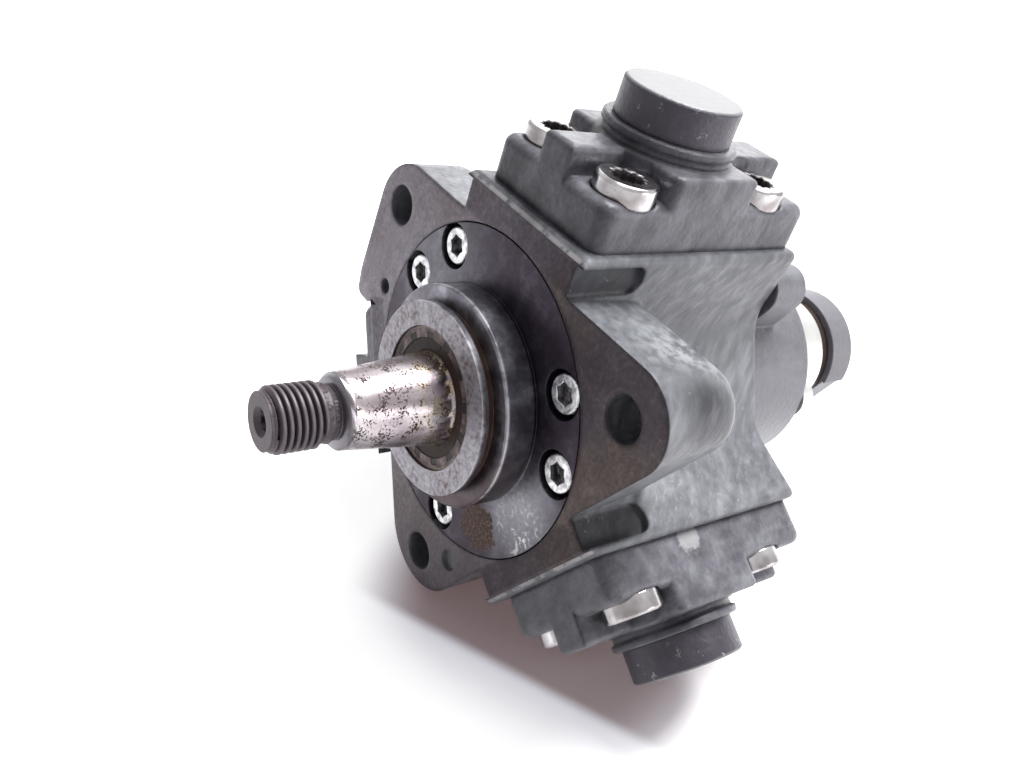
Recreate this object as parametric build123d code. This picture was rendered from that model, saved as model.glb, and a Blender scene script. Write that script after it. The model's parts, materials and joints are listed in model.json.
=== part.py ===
"""Diesel injection pump with three radial plungers, driven by a tapered shaft.

Frame: origin on the shaft axis in the mounting face, +Y along the shaft into the pump (the drive
end is -Y), +Z along the top plunger head, +X to the right seen from the drive end.
Lengths are millimetres, angles are degrees from +X towards +Z about the shaft axis.
"""
import os
from math import cos, hypot, pi, radians, sin, sqrt, tan

from build123d import *

# Heads: three alike, 120 degrees apart
HEAD_ANGLES = {"top": 90.0, "right": -30.0, "left": 210.0}
SEAT_HEIGHT = 45.0
WAIST_ANGLES = (30.0, 150.0, 270.0)

# Mounting flange and its three lugs
LUG_PITCH_RADIUS = 50.0
LUG_HOLE_RADIUS = 4.85
LUG_FLANK_REACH = 61.3
RIGHT_LUG_TIP_RADIUS = 11.3
RIGHT_LUG_DEPTH = 23.0
RIGHT_LUG_TAPER = 5.0
BOTTOM_LUG_TIP_RADIUS = 15.4
BOTTOM_LUG_RIM = 8.2
SIDE_LUG_DEPTH = 16.0
LUG_REAR_ROUND = 5.0
SIDE_LUG_REAR_ROUND = 2.5
LEFT_LUG_EDGE_X = -51.6
LEFT_LUG_CORNER_ROUND = 14.0
LEFT_EAR_X = -55.2
LEFT_EAR_BOTTOM_Z = -5.6
LEFT_EAR_TOP_Z = 0.7
LEFT_EAR_INNER_X = -49.0
DOWEL_HOLE = (-42.4, 3.0)
DOWEL_HOLE_RADIUS = 2.0
DIMPLE = (11.3, -42.6)
DIMPLE_RADIUS = 2.6
DIMPLE_DEPTH = 1.0

# Housing casting behind the flange
WAIST_WALL = 4.5
WAIST_FILLET = 13.0
SEAT_HALF_WIDTH = 21.2
PLANK_DRAFT = 0.16
SEAT_EDGE_CHAMFER = 1.5
REAR_EDGE_CHAMFER = 1.0
PLANK_CORNER_ROUND = 1.5
SIDE_POCKET_DEPTH = 2.3
SIDE_POCKET_HEIGHT = 7.0
SIDE_POCKET_ROOF = 1.6
SIDE_POCKET_END_Y = 18.0
SIDE_POCKET_ROUND = 3.0
CHAMBER_CLEARANCE = 0.75
REAR_WALL_THICKNESS = 3.0
HEAD_BORE_RADIUS = 14.5

# Front cover: disc, pilot and nose, sunk flush in the mounting face
COVER_RADIUS = 37.95
COVER_THICKNESS = 7.5
COVER_GAP = 0.35
PILOT_RADIUS = 25.0
PILOT_FRONT_Y = -7.7
PILOT_CHAMFER = 0.5
NOSE_RADIUS = 21.65
NOSE_FRONT_Y = -11.3
NOSE_LIP_WIDTH = 1.6
NOSE_GROOVE_RADIUS = 20.4
COVER_SPIGOT_CLEARANCE = 0.2
COVER_SPIGOT_END_Y = 13.0
COVER_HUB_RADIUS = 16.6
COVER_HUB_END_Y = 16.5
COVER_RING_GROOVE_Y = 9.2
COVER_RING_WIRE_RADIUS = 1.0

# Cover screws: three pairs, sunk heads that break out of the disc's rim
COVER_SCREW_PITCH_RADIUS = 33.05
COVER_SCREW_PAIR_CENTRES = (20.0, 140.0, 260.0)
COVER_SCREW_PAIR_HALF_ANGLE = 14.8
COVER_SCREW_SHANK_RADIUS = 2.5
COVER_SCREW_HEAD_RADIUS = 4.25
COVER_SCREW_HEAD_HEIGHT = 4.0
COVER_SCREW_LENGTH = 12.0
COVER_COUNTERBORE_RADIUS = 5.25
COVER_COUNTERBORE_DEPTH = 4.6
SCREW_BOSS_RADIUS = 5.6
SCREW_BOSS_END_WALL = 2.4
SCREW_LOBES = 6
THREAD_CLEARANCE = 0.03

# Shaft seal
SEAL_POCKET_RADIUS = 16.1
SEAL_FACE_DEPTH = 0.7
SEAL_WIDTH = 7.0
SEAL_CASE_WALL = 1.3
SEAL_WEB_RADIUS = 13.4
SEAL_LIP_WALL = 1.2
SEAL_FIT = 0.02
GARTER_WIRE_RADIUS = 0.55

# Drive shaft
SHAFT_TIP_Y = -49.1
THREAD_RADIUS = 7.0
THREAD_ROOT_RADIUS = 6.2
THREAD_PITCH = 1.5
THREAD_END_Y = -36.6
THREAD_NECK_RADIUS = 5.9
TIP_CHAMFER = 0.9
CENTRE_HOLE_RADIUS = 3.2
CENTRE_HOLE_DEPTH = 5.0
TAPER_START_Y = -34.2
TAPER_START_RADIUS = 8.15
TAPER_END_Y = -11.6
TAPER_END_RADIUS = 10.35
TAPER_CHAMFER = 0.8
SEAL_LAND_RADIUS = 10.6
FRONT_JOURNAL_Y = -2.2
FRONT_JOURNAL_RADIUS = 11.0
REAR_JOURNAL_RADIUS = 10.0
REAR_JOURNAL_END_GAP = 0.5
FRONT_COLLAR_LENGTH = 1.9
REAR_COLLAR_LENGTH = 2.0
SHAFT_SHOULDER_RADIUS = 13.6
RUNNING_CLEARANCE = 0.03
END_FLOAT = 0.1

# Bearings
BUSH_WALL = 2.0
FRONT_BUSH_START_Y = -1.4
REAR_BUSH_LENGTH = 14.4
THRUST_WASHER_THICKNESS = 1.5
THRUST_WASHER_RADIUS = 15.6
REAR_WALL_HOLE_RADIUS = 7.0

# Eccentric and the cam ring that it carries round without turning it
ECCENTRICITY = 2.75
ECCENTRIC_LENGTH = 25.0
CAM_RING_OUTER_RADIUS = 21.0
CAM_RING_WALL = 4.47
CAM_RING_FLAT_DEPTH = 2.0
CAM_RING_WIDTH = 20.0
CAM_BUSH_WALL = 2.2

# Plunger, its foot and spring, measured outwards from the shaft axis
FOOT_CLEARANCE = 0.3
FOOT_RADIUS = 8.8
FOOT_THICKNESS = 3.0
PLUNGER_RADIUS = 3.5
PLUNGER_HEAD_RADIUS = 5.0
PLUNGER_HEAD_HEIGHT = 1.5
PLUNGER_TOP_GAP = 0.4
PLUNGER_CLEARANCE = 0.02
RETAINER_THICKNESS = 1.2
RETAINER_RADIUS = 8.0
PLUNGER_SPRING_WIRE_RADIUS = 0.7
PLUNGER_SPRING_MEAN_RADIUS = 6.9
PLUNGER_SPRING_TURNS = 5.0

# Cylinder head forging, its heights stacked up from the seat
HEAD_HALF_WIDTH = 18.5
HEAD_START_Y = 3.5
HEAD_REAR_STEP = 0.2
HEAD_REAR_UNDERCUT = 1.6
HEAD_PLATE_THICKNESS = 10.1
HEAD_ARM_HEIGHT = 5.9
SIDE_ARM_HALF_LENGTH = 12.4
FRONT_ARM_HALF_WIDTH = 4.4
REAR_ARM_HALF_WIDTH = 5.6
HEAD_CORNER_ROUND = 3.5
PLATE_EDGE_ROUND = 2.4
ARM_CORNER_ROUND = 2.0
ARM_EDGE_ROUND = 1.2
TOWER_RADIUS = 15.8
TOWER_NECK_RADIUS = 14.2
TOWER_EDGE_HEIGHT = 0.4
TOWER_NECK_HEIGHT = 1.3
COLLAR_RADIUS = 15.0
COLLAR_HEIGHT = 1.95
SPIGOT_LENGTH = 8.5
SPIGOT_CLEARANCE = 0.2
SPRING_SEAT_DROP = 2.0
SPRING_POCKET_RADIUS = 8.8
GUIDE_RADIUS = 5.3
HEAD_RING_DROP = 4.0
HEAD_RING_WIRE_RADIUS = 0.9
PUMPING_CHAMBER_HEIGHT = 2.7
PUMPING_CHAMBER_RADIUS = 5.0

# Head bolts, their heads sunk a little into the plate
HEAD_BOLT_X = 11.8
HEAD_BOLT_Y = 19.7
HEAD_BOLT_RADIUS = 4.0
HEAD_BOLT_HEAD_RADIUS = 6.6
HEAD_BOLT_HEAD_HEIGHT = 4.4
HEAD_BOLT_SINK = 1.0
HEAD_BOLT_END_WALL = 3.6
HEAD_BOLT_HOLE_RADIUS = 4.3
HEAD_BOLT_SPOT_RADIUS = 6.95
SOCKET_POINTS = 12

# Plug with the suction valve, on top of each head
PLUG_CAP_RADIUS = 13.0
PLUG_CAP_HEIGHT = 8.0
PLUG_CAP_WALL = 5.45
PLUG_CAP_CHAMFER = 0.6
PLUG_STEM_RADIUS = 10.9
PLUG_STEM_CLEARANCE = 0.05
PLUG_STEM_LENGTH = 7.05
PLUG_WEB_THICKNESS = 2.5
VALVE_GUIDE_RADIUS = 1.55
VALVE_SPRING_ROOM_RADIUS = 4.6
FEED_HOLE_RADIUS = 0.7
FEED_HOLE_PITCH_RADIUS = 2.9
SUCTION_STEM_RADIUS = 1.5
SUCTION_STEM_LENGTH = 8.0
SUCTION_DISC_RADIUS = 4.3
SUCTION_DISC_THICKNESS = 1.4
SUCTION_SEAT_GAP = 0.05
SUCTION_RETAINER_RADIUS = 3.9
SUCTION_RETAINER_DROP = 2.0
SUCTION_RETAINER_THICKNESS = 1.0
SUCTION_SPRING_WIRE_RADIUS = 0.3
SUCTION_SPRING_MEAN_RADIUS = 2.9
SUCTION_SPRING_TURNS = 3.0

# Discharge ball valve in the rear arm of each head
DISCHARGE_RISE = 1.0
DISCHARGE_PASSAGE_RADIUS = 1.2
DISCHARGE_SEAT_Y = 13.0
DISCHARGE_BORE_RADIUS = 2.3
DISCHARGE_BALL_RADIUS = 1.8
DISCHARGE_BALL_GAP = 0.05
DISCHARGE_BORE_LENGTH = 9.0
DISCHARGE_PLUG_RADIUS = 3.0
DISCHARGE_PLUG_SOCKET_RADIUS = 1.6
DISCHARGE_SPRING_WIRE_RADIUS = 0.25
DISCHARGE_SPRING_MEAN_RADIUS = 1.45
DISCHARGE_SPRING_TURNS = 4.0
OUTFLOW_DRILL_Y = 18.5
OUTFLOW_DRILL_RADIUS = 1.0

# Rear cover
REAR_COVER_RADIUS = 27.5
REAR_COVER_THICKNESS = 23.5
REAR_EAR_ANGLES = (65.0, 185.0, 305.0)
REAR_EAR_PITCH_RADIUS = 35.3
REAR_EAR_RADIUS = 5.9
REAR_EAR_THICKNESS = 11.0
REAR_SCREW_RADIUS = 2.5
REAR_SCREW_HEAD_RADIUS = 4.25
REAR_SCREW_HEAD_HEIGHT = 5.0
REAR_SCREW_SINK = 5.4
REAR_SCREW_SINK_CLEARANCE = 0.15
REAR_SCREW_GRIP = 8.0
REAR_RING_RADIUS = 22.0
REAR_RING_WIRE_RADIUS = 0.7
REAR_RING_GROOVE_DEPTH = 1.45
REAR_FEED_ROOM_LENGTH = 6.0
REAR_FEED_ROOM_RADIUS = 6.0

# Metering valve on the rear cover: steel sleeve, coil, piston and plastic connector
NOSE_BORE_RADIUS = 9.0
VALVE_NOSE_RADIUS = 8.95
VALVE_NOSE_LENGTH = 14.5
VALVE_NOSE_WALL = 2.0
VALVE_FLANGE_THICKNESS = 3.0
VALVE_EAR_ANGLES = (5.0, 125.0, 245.0)
VALVE_EAR_PITCH_RADIUS = 22.4
VALVE_EAR_RADIUS = 5.6
VALVE_SCREW_RADIUS = 2.5
VALVE_SCREW_HEAD_RADIUS = 4.2
VALVE_SCREW_HEAD_HEIGHT = 3.4
VALVE_SCREW_GRIP = 7.5
SLEEVE_RADIUS = 16.5
SLEEVE_WALL = 1.5
SLEEVE_LENGTH = 19.5
SLEEVE_END_WALL = 1.8
SLEEVE_FLOOR_THICKNESS = 1.0
ARMATURE_TUBE_RADIUS = 9.0
ARMATURE_TUBE_WALL = 0.8
COIL_CLEARANCE = 0.15
PISTON_RADIUS = 5.0
PISTON_FRONT_GAP = 3.0
PISTON_SHOULDER_GAP = 1.1
ARMATURE_RADIUS = 8.1
ARMATURE_LENGTH = 7.8
METERING_TRAVEL = 2.4
CORE_GAP = 0.2
CORE_POCKET_RADIUS = 3.4
METERING_SPRING_WIRE_RADIUS = 0.35
METERING_SPRING_MEAN_RADIUS = 2.7
METERING_SPRING_TURNS = 5.0
METERING_SLOT_WIDTH = 2.0
SEAL_WASHER_RADIUS = 15.7
SEAL_WASHER_THICKNESS = 3.4
CONNECTOR_RADIUS = 17.4
CONNECTOR_THICKNESS = 10.6
CONNECTOR_EDGE_ROUND = 2.0
CONNECTOR_FLAT_ANGLE = -24.0
CONNECTOR_FLAT_DEPTH = 1.8
CONNECTOR_FLAT_TOP_Z = -1.0
SOCKET_REACH = 36.0
SOCKET_HEIGHT = 20.0
SOCKET_WIDTH = 10.6
SOCKET_WALL = 1.8
SOCKET_CAVITY_DEPTH = 15.0
PIN_LENGTH = 6.0
PIN_WIDTH = 2.8
PIN_THICKNESS = 0.8
PIN_SPACING = 6.0

# Pipe unions
INLET_ANGLE = 150.0
INLET_SETBACK = 10.5
INLET_SPIGOT_RADIUS = 5.0
RETURN_ANGLE = 215.0
RETURN_SETBACK = 13.5
RETURN_DRILL_RADIUS = 1.5
RETURN_DRILL_PITCH_RADIUS = 18.0
RETURN_SPIGOT_RADIUS = 4.0
UNION_HEX_ACROSS_FLATS = 17.0
UNION_HEX_HEIGHT = 6.0
UNION_STEM_RADIUS = 6.0
UNION_STEM_LENGTH = 7.0
SPIGOT_PLAIN_LENGTH = 8.0
SPIGOT_BARB_LENGTH = 3.0
SPIGOT_BARB_DEPTH = 0.7
INLET_BARBS = 3
RETURN_BARBS = 2
UNION_BORE_RATIO = 0.6
OUTLET_ANGLE = 150.0
OUTLET_Y = 45.0
OUTLET_BOSS_RADIUS = 10.5
OUTLET_BOSS_RISE = 6.0
OUTLET_BOSS_ROOT = 2.0
OUTLET_THREAD_RADIUS = 7.0
OUTLET_THREAD_LENGTH = 13.0
OUTLET_CONE_RADIUS = 4.5
OUTLET_BORE_RADIUS = 1.2

# Values that follow from the driving dimensions
COVER_SCREW_ANGLES = [
    centre + side * COVER_SCREW_PAIR_HALF_ANGLE
    for centre in COVER_SCREW_PAIR_CENTRES
    for side in (-1, 1)
]
SEAL_FACE_Y = NOSE_FRONT_Y + SEAL_FACE_DEPTH
SEAL_BACK_Y = SEAL_FACE_Y + SEAL_WIDTH

# Along the shaft, one piece after the other
FRONT_SHOULDER_Y = COVER_HUB_END_Y + THRUST_WASHER_THICKNESS + END_FLOAT
ECCENTRIC_START_Y = FRONT_SHOULDER_Y + FRONT_COLLAR_LENGTH
HEAD_Y = ECCENTRIC_START_Y + ECCENTRIC_LENGTH / 2
ECCENTRIC_END_Y = ECCENTRIC_START_Y + ECCENTRIC_LENGTH
REAR_SHOULDER_Y = ECCENTRIC_END_Y + REAR_COLLAR_LENGTH
CHAMBER_END_Y = REAR_SHOULDER_Y + END_FLOAT + THRUST_WASHER_THICKNESS
REAR_BUSH_END_Y = CHAMBER_END_Y + REAR_BUSH_LENGTH
REAR_JOURNAL_END_Y = REAR_BUSH_END_Y - REAR_JOURNAL_END_GAP
BODY_END_Y = REAR_BUSH_END_Y + REAR_WALL_THICKNESS
HEAD_FRONT = HEAD_Y - HEAD_START_Y
HEAD_REAR = BODY_END_Y - HEAD_REAR_STEP - HEAD_Y
SCREW_BOSS_END_Y = COVER_COUNTERBORE_DEPTH + COVER_SCREW_LENGTH + SCREW_BOSS_END_WALL
REAR_COVER_END_Y = BODY_END_Y + REAR_COVER_THICKNESS
VALVE_NOSE_START_Y = REAR_COVER_END_Y - VALVE_NOSE_LENGTH
REAR_FEED_ROOM_START_Y = VALVE_NOSE_START_Y - REAR_FEED_ROOM_LENGTH
INLET_Y = REAR_COVER_END_Y - INLET_SETBACK
RETURN_Y = REAR_COVER_END_Y - RETURN_SETBACK
VALVE_FLANGE_END_Y = REAR_COVER_END_Y + VALVE_FLANGE_THICKNESS
PISTON_BORE_START_Y = VALVE_NOSE_START_Y + VALVE_NOSE_WALL
PISTON_START_Y = PISTON_BORE_START_Y + PISTON_FRONT_GAP
PISTON_END_Y = VALVE_FLANGE_END_Y + PISTON_SHOULDER_GAP
ARMATURE_END_Y = PISTON_END_Y + ARMATURE_LENGTH
CORE_START_Y = ARMATURE_END_Y + METERING_TRAVEL + CORE_GAP
SLEEVE_END_Y = VALVE_FLANGE_END_Y + SLEEVE_LENGTH
CORE_POCKET_END_Y = SLEEVE_END_Y - SLEEVE_END_WALL
SEAL_WASHER_END_Y = SLEEVE_END_Y + SEAL_WASHER_THICKNESS
CONNECTOR_END_Y = SEAL_WASHER_END_Y + CONNECTOR_THICKNESS

# Outwards from the shaft, first the ring and its chamber, then the plunger
CAM_BORE_RADIUS = CAM_RING_OUTER_RADIUS - CAM_RING_WALL
ECCENTRIC_RADIUS = CAM_BORE_RADIUS - CAM_BUSH_WALL - RUNNING_CLEARANCE
CAM_RING_FLAT_DISTANCE = CAM_RING_OUTER_RADIUS - CAM_RING_FLAT_DEPTH
CHAMBER_RADIUS = CAM_RING_OUTER_RADIUS + ECCENTRICITY + CHAMBER_CLEARANCE
WAIST_DISTANCE = CHAMBER_RADIUS + WAIST_WALL
BOTTOM_LUG_REACH = LUG_PITCH_RADIUS + BOTTOM_LUG_RIM
OUTLET_BOSS_TOP = WAIST_DISTANCE + OUTLET_BOSS_RISE
FOOT_LOW = CAM_RING_FLAT_DISTANCE + ECCENTRICITY + FOOT_CLEARANCE
FOOT_HIGH = FOOT_LOW + FOOT_THICKNESS
RETAINER_LOW = FOOT_HIGH + PLUNGER_HEAD_HEIGHT
RETAINER_HIGH = RETAINER_LOW + RETAINER_THICKNESS

# Outwards from the seat, the head and the plug on it
SPIGOT_END = SEAT_HEIGHT - SPIGOT_LENGTH
SPRING_POCKET_TOP = SEAT_HEIGHT - SPRING_SEAT_DROP
HEAD_RING_GROOVE_HEIGHT = SEAT_HEIGHT - HEAD_RING_DROP
PLATE_TOP = SEAT_HEIGHT + HEAD_PLATE_THICKNESS
BOLT_SEAT_HEIGHT = PLATE_TOP - HEAD_BOLT_SINK
HEAD_BOLT_LENGTH = BOLT_SEAT_HEIGHT - HEAD_BOLT_END_WALL - CHAMBER_RADIUS
ARM_TOP = PLATE_TOP + HEAD_ARM_HEIGHT
TOWER_NECK_LOW = ARM_TOP + TOWER_EDGE_HEIGHT
TOWER_NECK_HIGH = TOWER_NECK_LOW + TOWER_NECK_HEIGHT
COLLAR_TOP = TOWER_NECK_HIGH + COLLAR_HEIGHT
PLUG_CAP_TOP = COLLAR_TOP + PLUG_CAP_HEIGHT
VALVE_SPRING_ROOM_TOP = PLUG_CAP_TOP - PLUG_CAP_WALL
PLUG_STEM_END = COLLAR_TOP - PLUG_STEM_LENGTH
PLUG_WEB_TOP = PLUG_STEM_END + PLUG_WEB_THICKNESS
SUCTION_STEM_TOP = PLUG_STEM_END + SUCTION_STEM_LENGTH
SUCTION_RETAINER_LOW = SUCTION_STEM_TOP - SUCTION_RETAINER_DROP
PUMPING_CHAMBER_LOW = PLUG_STEM_END - PUMPING_CHAMBER_HEIGHT
PLUNGER_TOP = PUMPING_CHAMBER_LOW - 2 * ECCENTRICITY - PLUNGER_TOP_GAP
DISCHARGE_HEIGHT = PUMPING_CHAMBER_LOW + DISCHARGE_RISE
DISCHARGE_PLUG_START_Y = DISCHARGE_SEAT_Y + DISCHARGE_BORE_LENGTH


def radial(angle):
    """Unit vector that points away from the shaft at an angle."""
    return Vector(cos(radians(angle)), 0, sin(radians(angle)))


def on_circle(radius, angle):
    """X and Z of a point on a circle about the shaft."""
    return radius * cos(radians(angle)), radius * sin(radians(angle))


def slab(sketch, start_y, end_y):
    """Extrudes a sketch, drawn as X and Z, along the shaft from start_y to end_y."""
    return extrude(Plane.XZ.offset(-end_y) * sketch, amount=end_y - start_y)


def bar(x, z, radius, start_y, end_y):
    """A round bar parallel to the shaft."""
    return slab(Pos(x, z) * Circle(radius), start_y, end_y)


def turned(outline):
    """Turns a closed outline of (radius, y) points about the shaft axis."""
    return revolve(make_face(Polyline(*outline, close=True)), axis=Axis.Y)


def turned_upright(outline):
    """Turns a closed outline of (radius, height) points about +Z, as in a head's own frame."""
    return revolve(Plane.XZ * make_face(Polyline(*outline, close=True)), axis=Axis.Z)


def at_head(name, piece):
    """Moves a piece from the head's own frame, whose +Z is the plunger's axis, to its place."""
    return Pos(0, HEAD_Y, 0) * Rot(0, 90 - HEAD_ANGLES[name], 0) * piece


def outward(angle, y, piece):
    """Moves a piece made about +Z so that +Z points away from the shaft at an angle."""
    return Pos(0, y, 0) * Rot(0, 90 - angle, 0) * piece


def coil(mean_radius, wire_radius, turns, low, high):
    """A compression spring about +Z between two heights."""
    rise = high - low - 2 * wire_radius
    helix = Helix(pitch=rise / turns, height=rise, radius=mean_radius)
    start = Plane(origin=helix @ 0, z_dir=helix % 0)
    return Pos(0, 0, low + wire_radius) * sweep(start * Circle(wire_radius), path=helix)


def lobed_socket(radius, depth, points):
    """The recess of a socket screw: a star prism that reaches down from z = 0."""
    inner = radius * 0.8
    corners = []
    for step in range(2 * points):
        reach = radius if step % 2 == 0 else inner
        turn = pi * step / points
        corners.append((reach * cos(turn), reach * sin(turn)))
    star = make_face(Polyline(*corners, close=True))
    return Pos(0, 0, -depth) * extrude(star, amount=depth)


def socket_screw(shank_radius, length, head_radius, head_height, points):
    """A socket head screw, its head seated on z = 0 and its shank reaching down."""
    edge = head_radius * 0.08
    body = turned_upright([
        (0, -length),
        (shank_radius - edge, -length),
        (shank_radius, -length + edge),
        (shank_radius, 0),
        (head_radius, 0),
        (head_radius, head_height - edge),
        (head_radius - edge, head_height),
        (0, head_height),
    ])
    recess = lobed_socket(head_radius * 0.62, head_height * 0.55, points)
    return body - Pos(0, 0, head_height) * recess


def along_shaft(x, z, y, piece):
    """Stands a piece made about +Z on the shaft direction: its +Z points to the drive end."""
    return Pos(x, y, z) * Rot(90, 0, 0) * piece


# Housing: flange, lugs and body in one casting
def plank_half_width(height):
    """Half the width of a head's seat block at a height above the shaft."""
    return SEAT_HALF_WIDTH - PLANK_DRAFT * (SEAT_HEIGHT - height)


def body_outline():
    """Section of the body: three seat blocks joined by flat waists."""
    reach = WAIST_DISTANCE / cos(radians(30))
    low = (reach - SEAT_HALF_WIDTH + PLANK_DRAFT * SEAT_HEIGHT) / (PLANK_DRAFT + tan(radians(30)))
    corners = []
    waist_corners = []
    for angle in sorted(HEAD_ANGLES.values()):
        out = radial(angle)
        side = Vector(-out.Z, 0, out.X)
        waist_half = plank_half_width(low)
        for across, height in ((-waist_half, low), (-SEAT_HALF_WIDTH, SEAT_HEIGHT),
                               (SEAT_HALF_WIDTH, SEAT_HEIGHT), (waist_half, low)):
            point = out * height + side * across
            corners.append((point.X, point.Z))
            if height == low:
                waist_corners.append((point.X, point.Z))
    face = make_face(Polyline(*corners, close=True))
    inner = []
    for vertex in face.vertices():
        if any(hypot(vertex.X - x, vertex.Y - z) < 0.01 for x, z in waist_corners):
            inner.append(vertex)
    face = fillet(inner, WAIST_FILLET)
    outer = [vertex for vertex in face.vertices() if hypot(vertex.X, vertex.Y) > SEAT_HEIGHT]
    return fillet(outer, PLANK_CORNER_ROUND)


def wedge_lug(angle, reach, tip_radius, depth, taper, rear_round):
    """A lug with a round tip between two flanks that run parallel to the neighbouring seats."""
    centre = reach - tip_radius
    apex = centre + 2 * tip_radius
    base = WAIST_DISTANCE * 0.85
    base_half = (apex - base) * tan(radians(30))
    tangent_x = centre + tip_radius * 0.5
    tangent_y = tip_radius * sin(radians(60))
    flanks = Polyline((tangent_x, tangent_y), (base, base_half), (base, -base_half),
                      (tangent_x, -tangent_y))
    tip = ThreePointArc((tangent_x, -tangent_y), (reach, 0), (tangent_x, tangent_y))
    sketch = make_face(flanks + tip)
    place = Plane(origin=(0, 0, 0), x_dir=radial(angle), z_dir=(0, 1, 0))
    lug = extrude(place * sketch, amount=depth, taper=taper)
    rear = lug.edges().group_by(Axis.Y)[-1]
    return fillet(rear, rear_round)


def left_lug():
    """The left lug: a broad round corner that runs down into an ear beside the left head."""
    top = (LUG_FLANK_REACH - RIGHT_LUG_TIP_RADIUS) * sin(radians(30)) + RIGHT_LUG_TIP_RADIUS
    inner = plank_half_width(SEAT_HEIGHT) * 0.5
    seat_x = -SEAT_HEIGHT * cos(radians(30)) * 0.8
    corners = [
        (-inner, top),
        (LEFT_LUG_EDGE_X, top),
        (LEFT_EAR_X, LEFT_EAR_TOP_Z),
        (LEFT_EAR_X + 0.6, LEFT_EAR_BOTTOM_Z),
        (LEFT_EAR_INNER_X, LEFT_EAR_BOTTOM_Z),
        (LEFT_EAR_INNER_X + 2.2, LEFT_EAR_BOTTOM_Z + 2),
        (seat_x, LEFT_EAR_BOTTOM_Z),
    ]
    face = make_face(Polyline(*corners, close=True))
    corner = [v for v in face.vertices() if hypot(v.X - LEFT_LUG_EDGE_X, v.Y - top) < 0.01]
    face = fillet(corner, LEFT_LUG_CORNER_ROUND)
    ear = [v for v in face.vertices() if v.X < LEFT_EAR_INNER_X - 1 and v.Y < 5]
    face = fillet(ear, 2.2)
    lug = slab(face, 0, SIDE_LUG_DEPTH)
    rear = lug.edges().group_by(Axis.Y)[-1]
    return fillet(rear, SIDE_LUG_REAR_ROUND)


def seat_edge_cut(name):
    """The rough bevel along the front edge of a head's seat."""
    wide = SEAT_HALF_WIDTH + 5
    bevel = make_face(Polyline((-1, SEAT_HEIGHT + 1), (-1, SEAT_HEIGHT - SEAT_EDGE_CHAMFER - 1),
                               (0, SEAT_HEIGHT - SEAT_EDGE_CHAMFER), (SEAT_EDGE_CHAMFER, SEAT_HEIGHT),
                               (SEAT_EDGE_CHAMFER + 1, SEAT_HEIGHT + 1), close=True))
    wedge = extrude(Plane.YZ.offset(-wide) * bevel, amount=2 * wide)
    return Rot(0, 90 - HEAD_ANGLES[name], 0) * wedge


def side_pockets(name):
    """Cast pockets in both sides of a seat block, open at the mounting face."""
    outside = 3
    length = SIDE_POCKET_END_Y + 1
    block = Box(SIDE_POCKET_DEPTH + outside, length, SIDE_POCKET_HEIGHT,
                align=(Align.MIN, Align.MIN, Align.MAX))
    ends = block.edges().filter_by(Axis.X).group_by(Axis.Y)[-1]
    block = fillet(ends, SIDE_POCKET_ROUND)
    floor = SEAT_HALF_WIDTH - SIDE_POCKET_DEPTH
    block = Pos(floor, -1, SEAT_HEIGHT - SIDE_POCKET_ROOF) * block
    pair = block + mirror(block, about=Plane.YZ)
    return Rot(0, 90 - HEAD_ANGLES[name], 0) * pair


def head_bolt_places():
    """X and Y of the four bolts in a head's own frame."""
    return [(x, y) for x in (-HEAD_BOLT_X, HEAD_BOLT_X) for y in (-HEAD_BOLT_Y, HEAD_BOLT_Y)]


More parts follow.
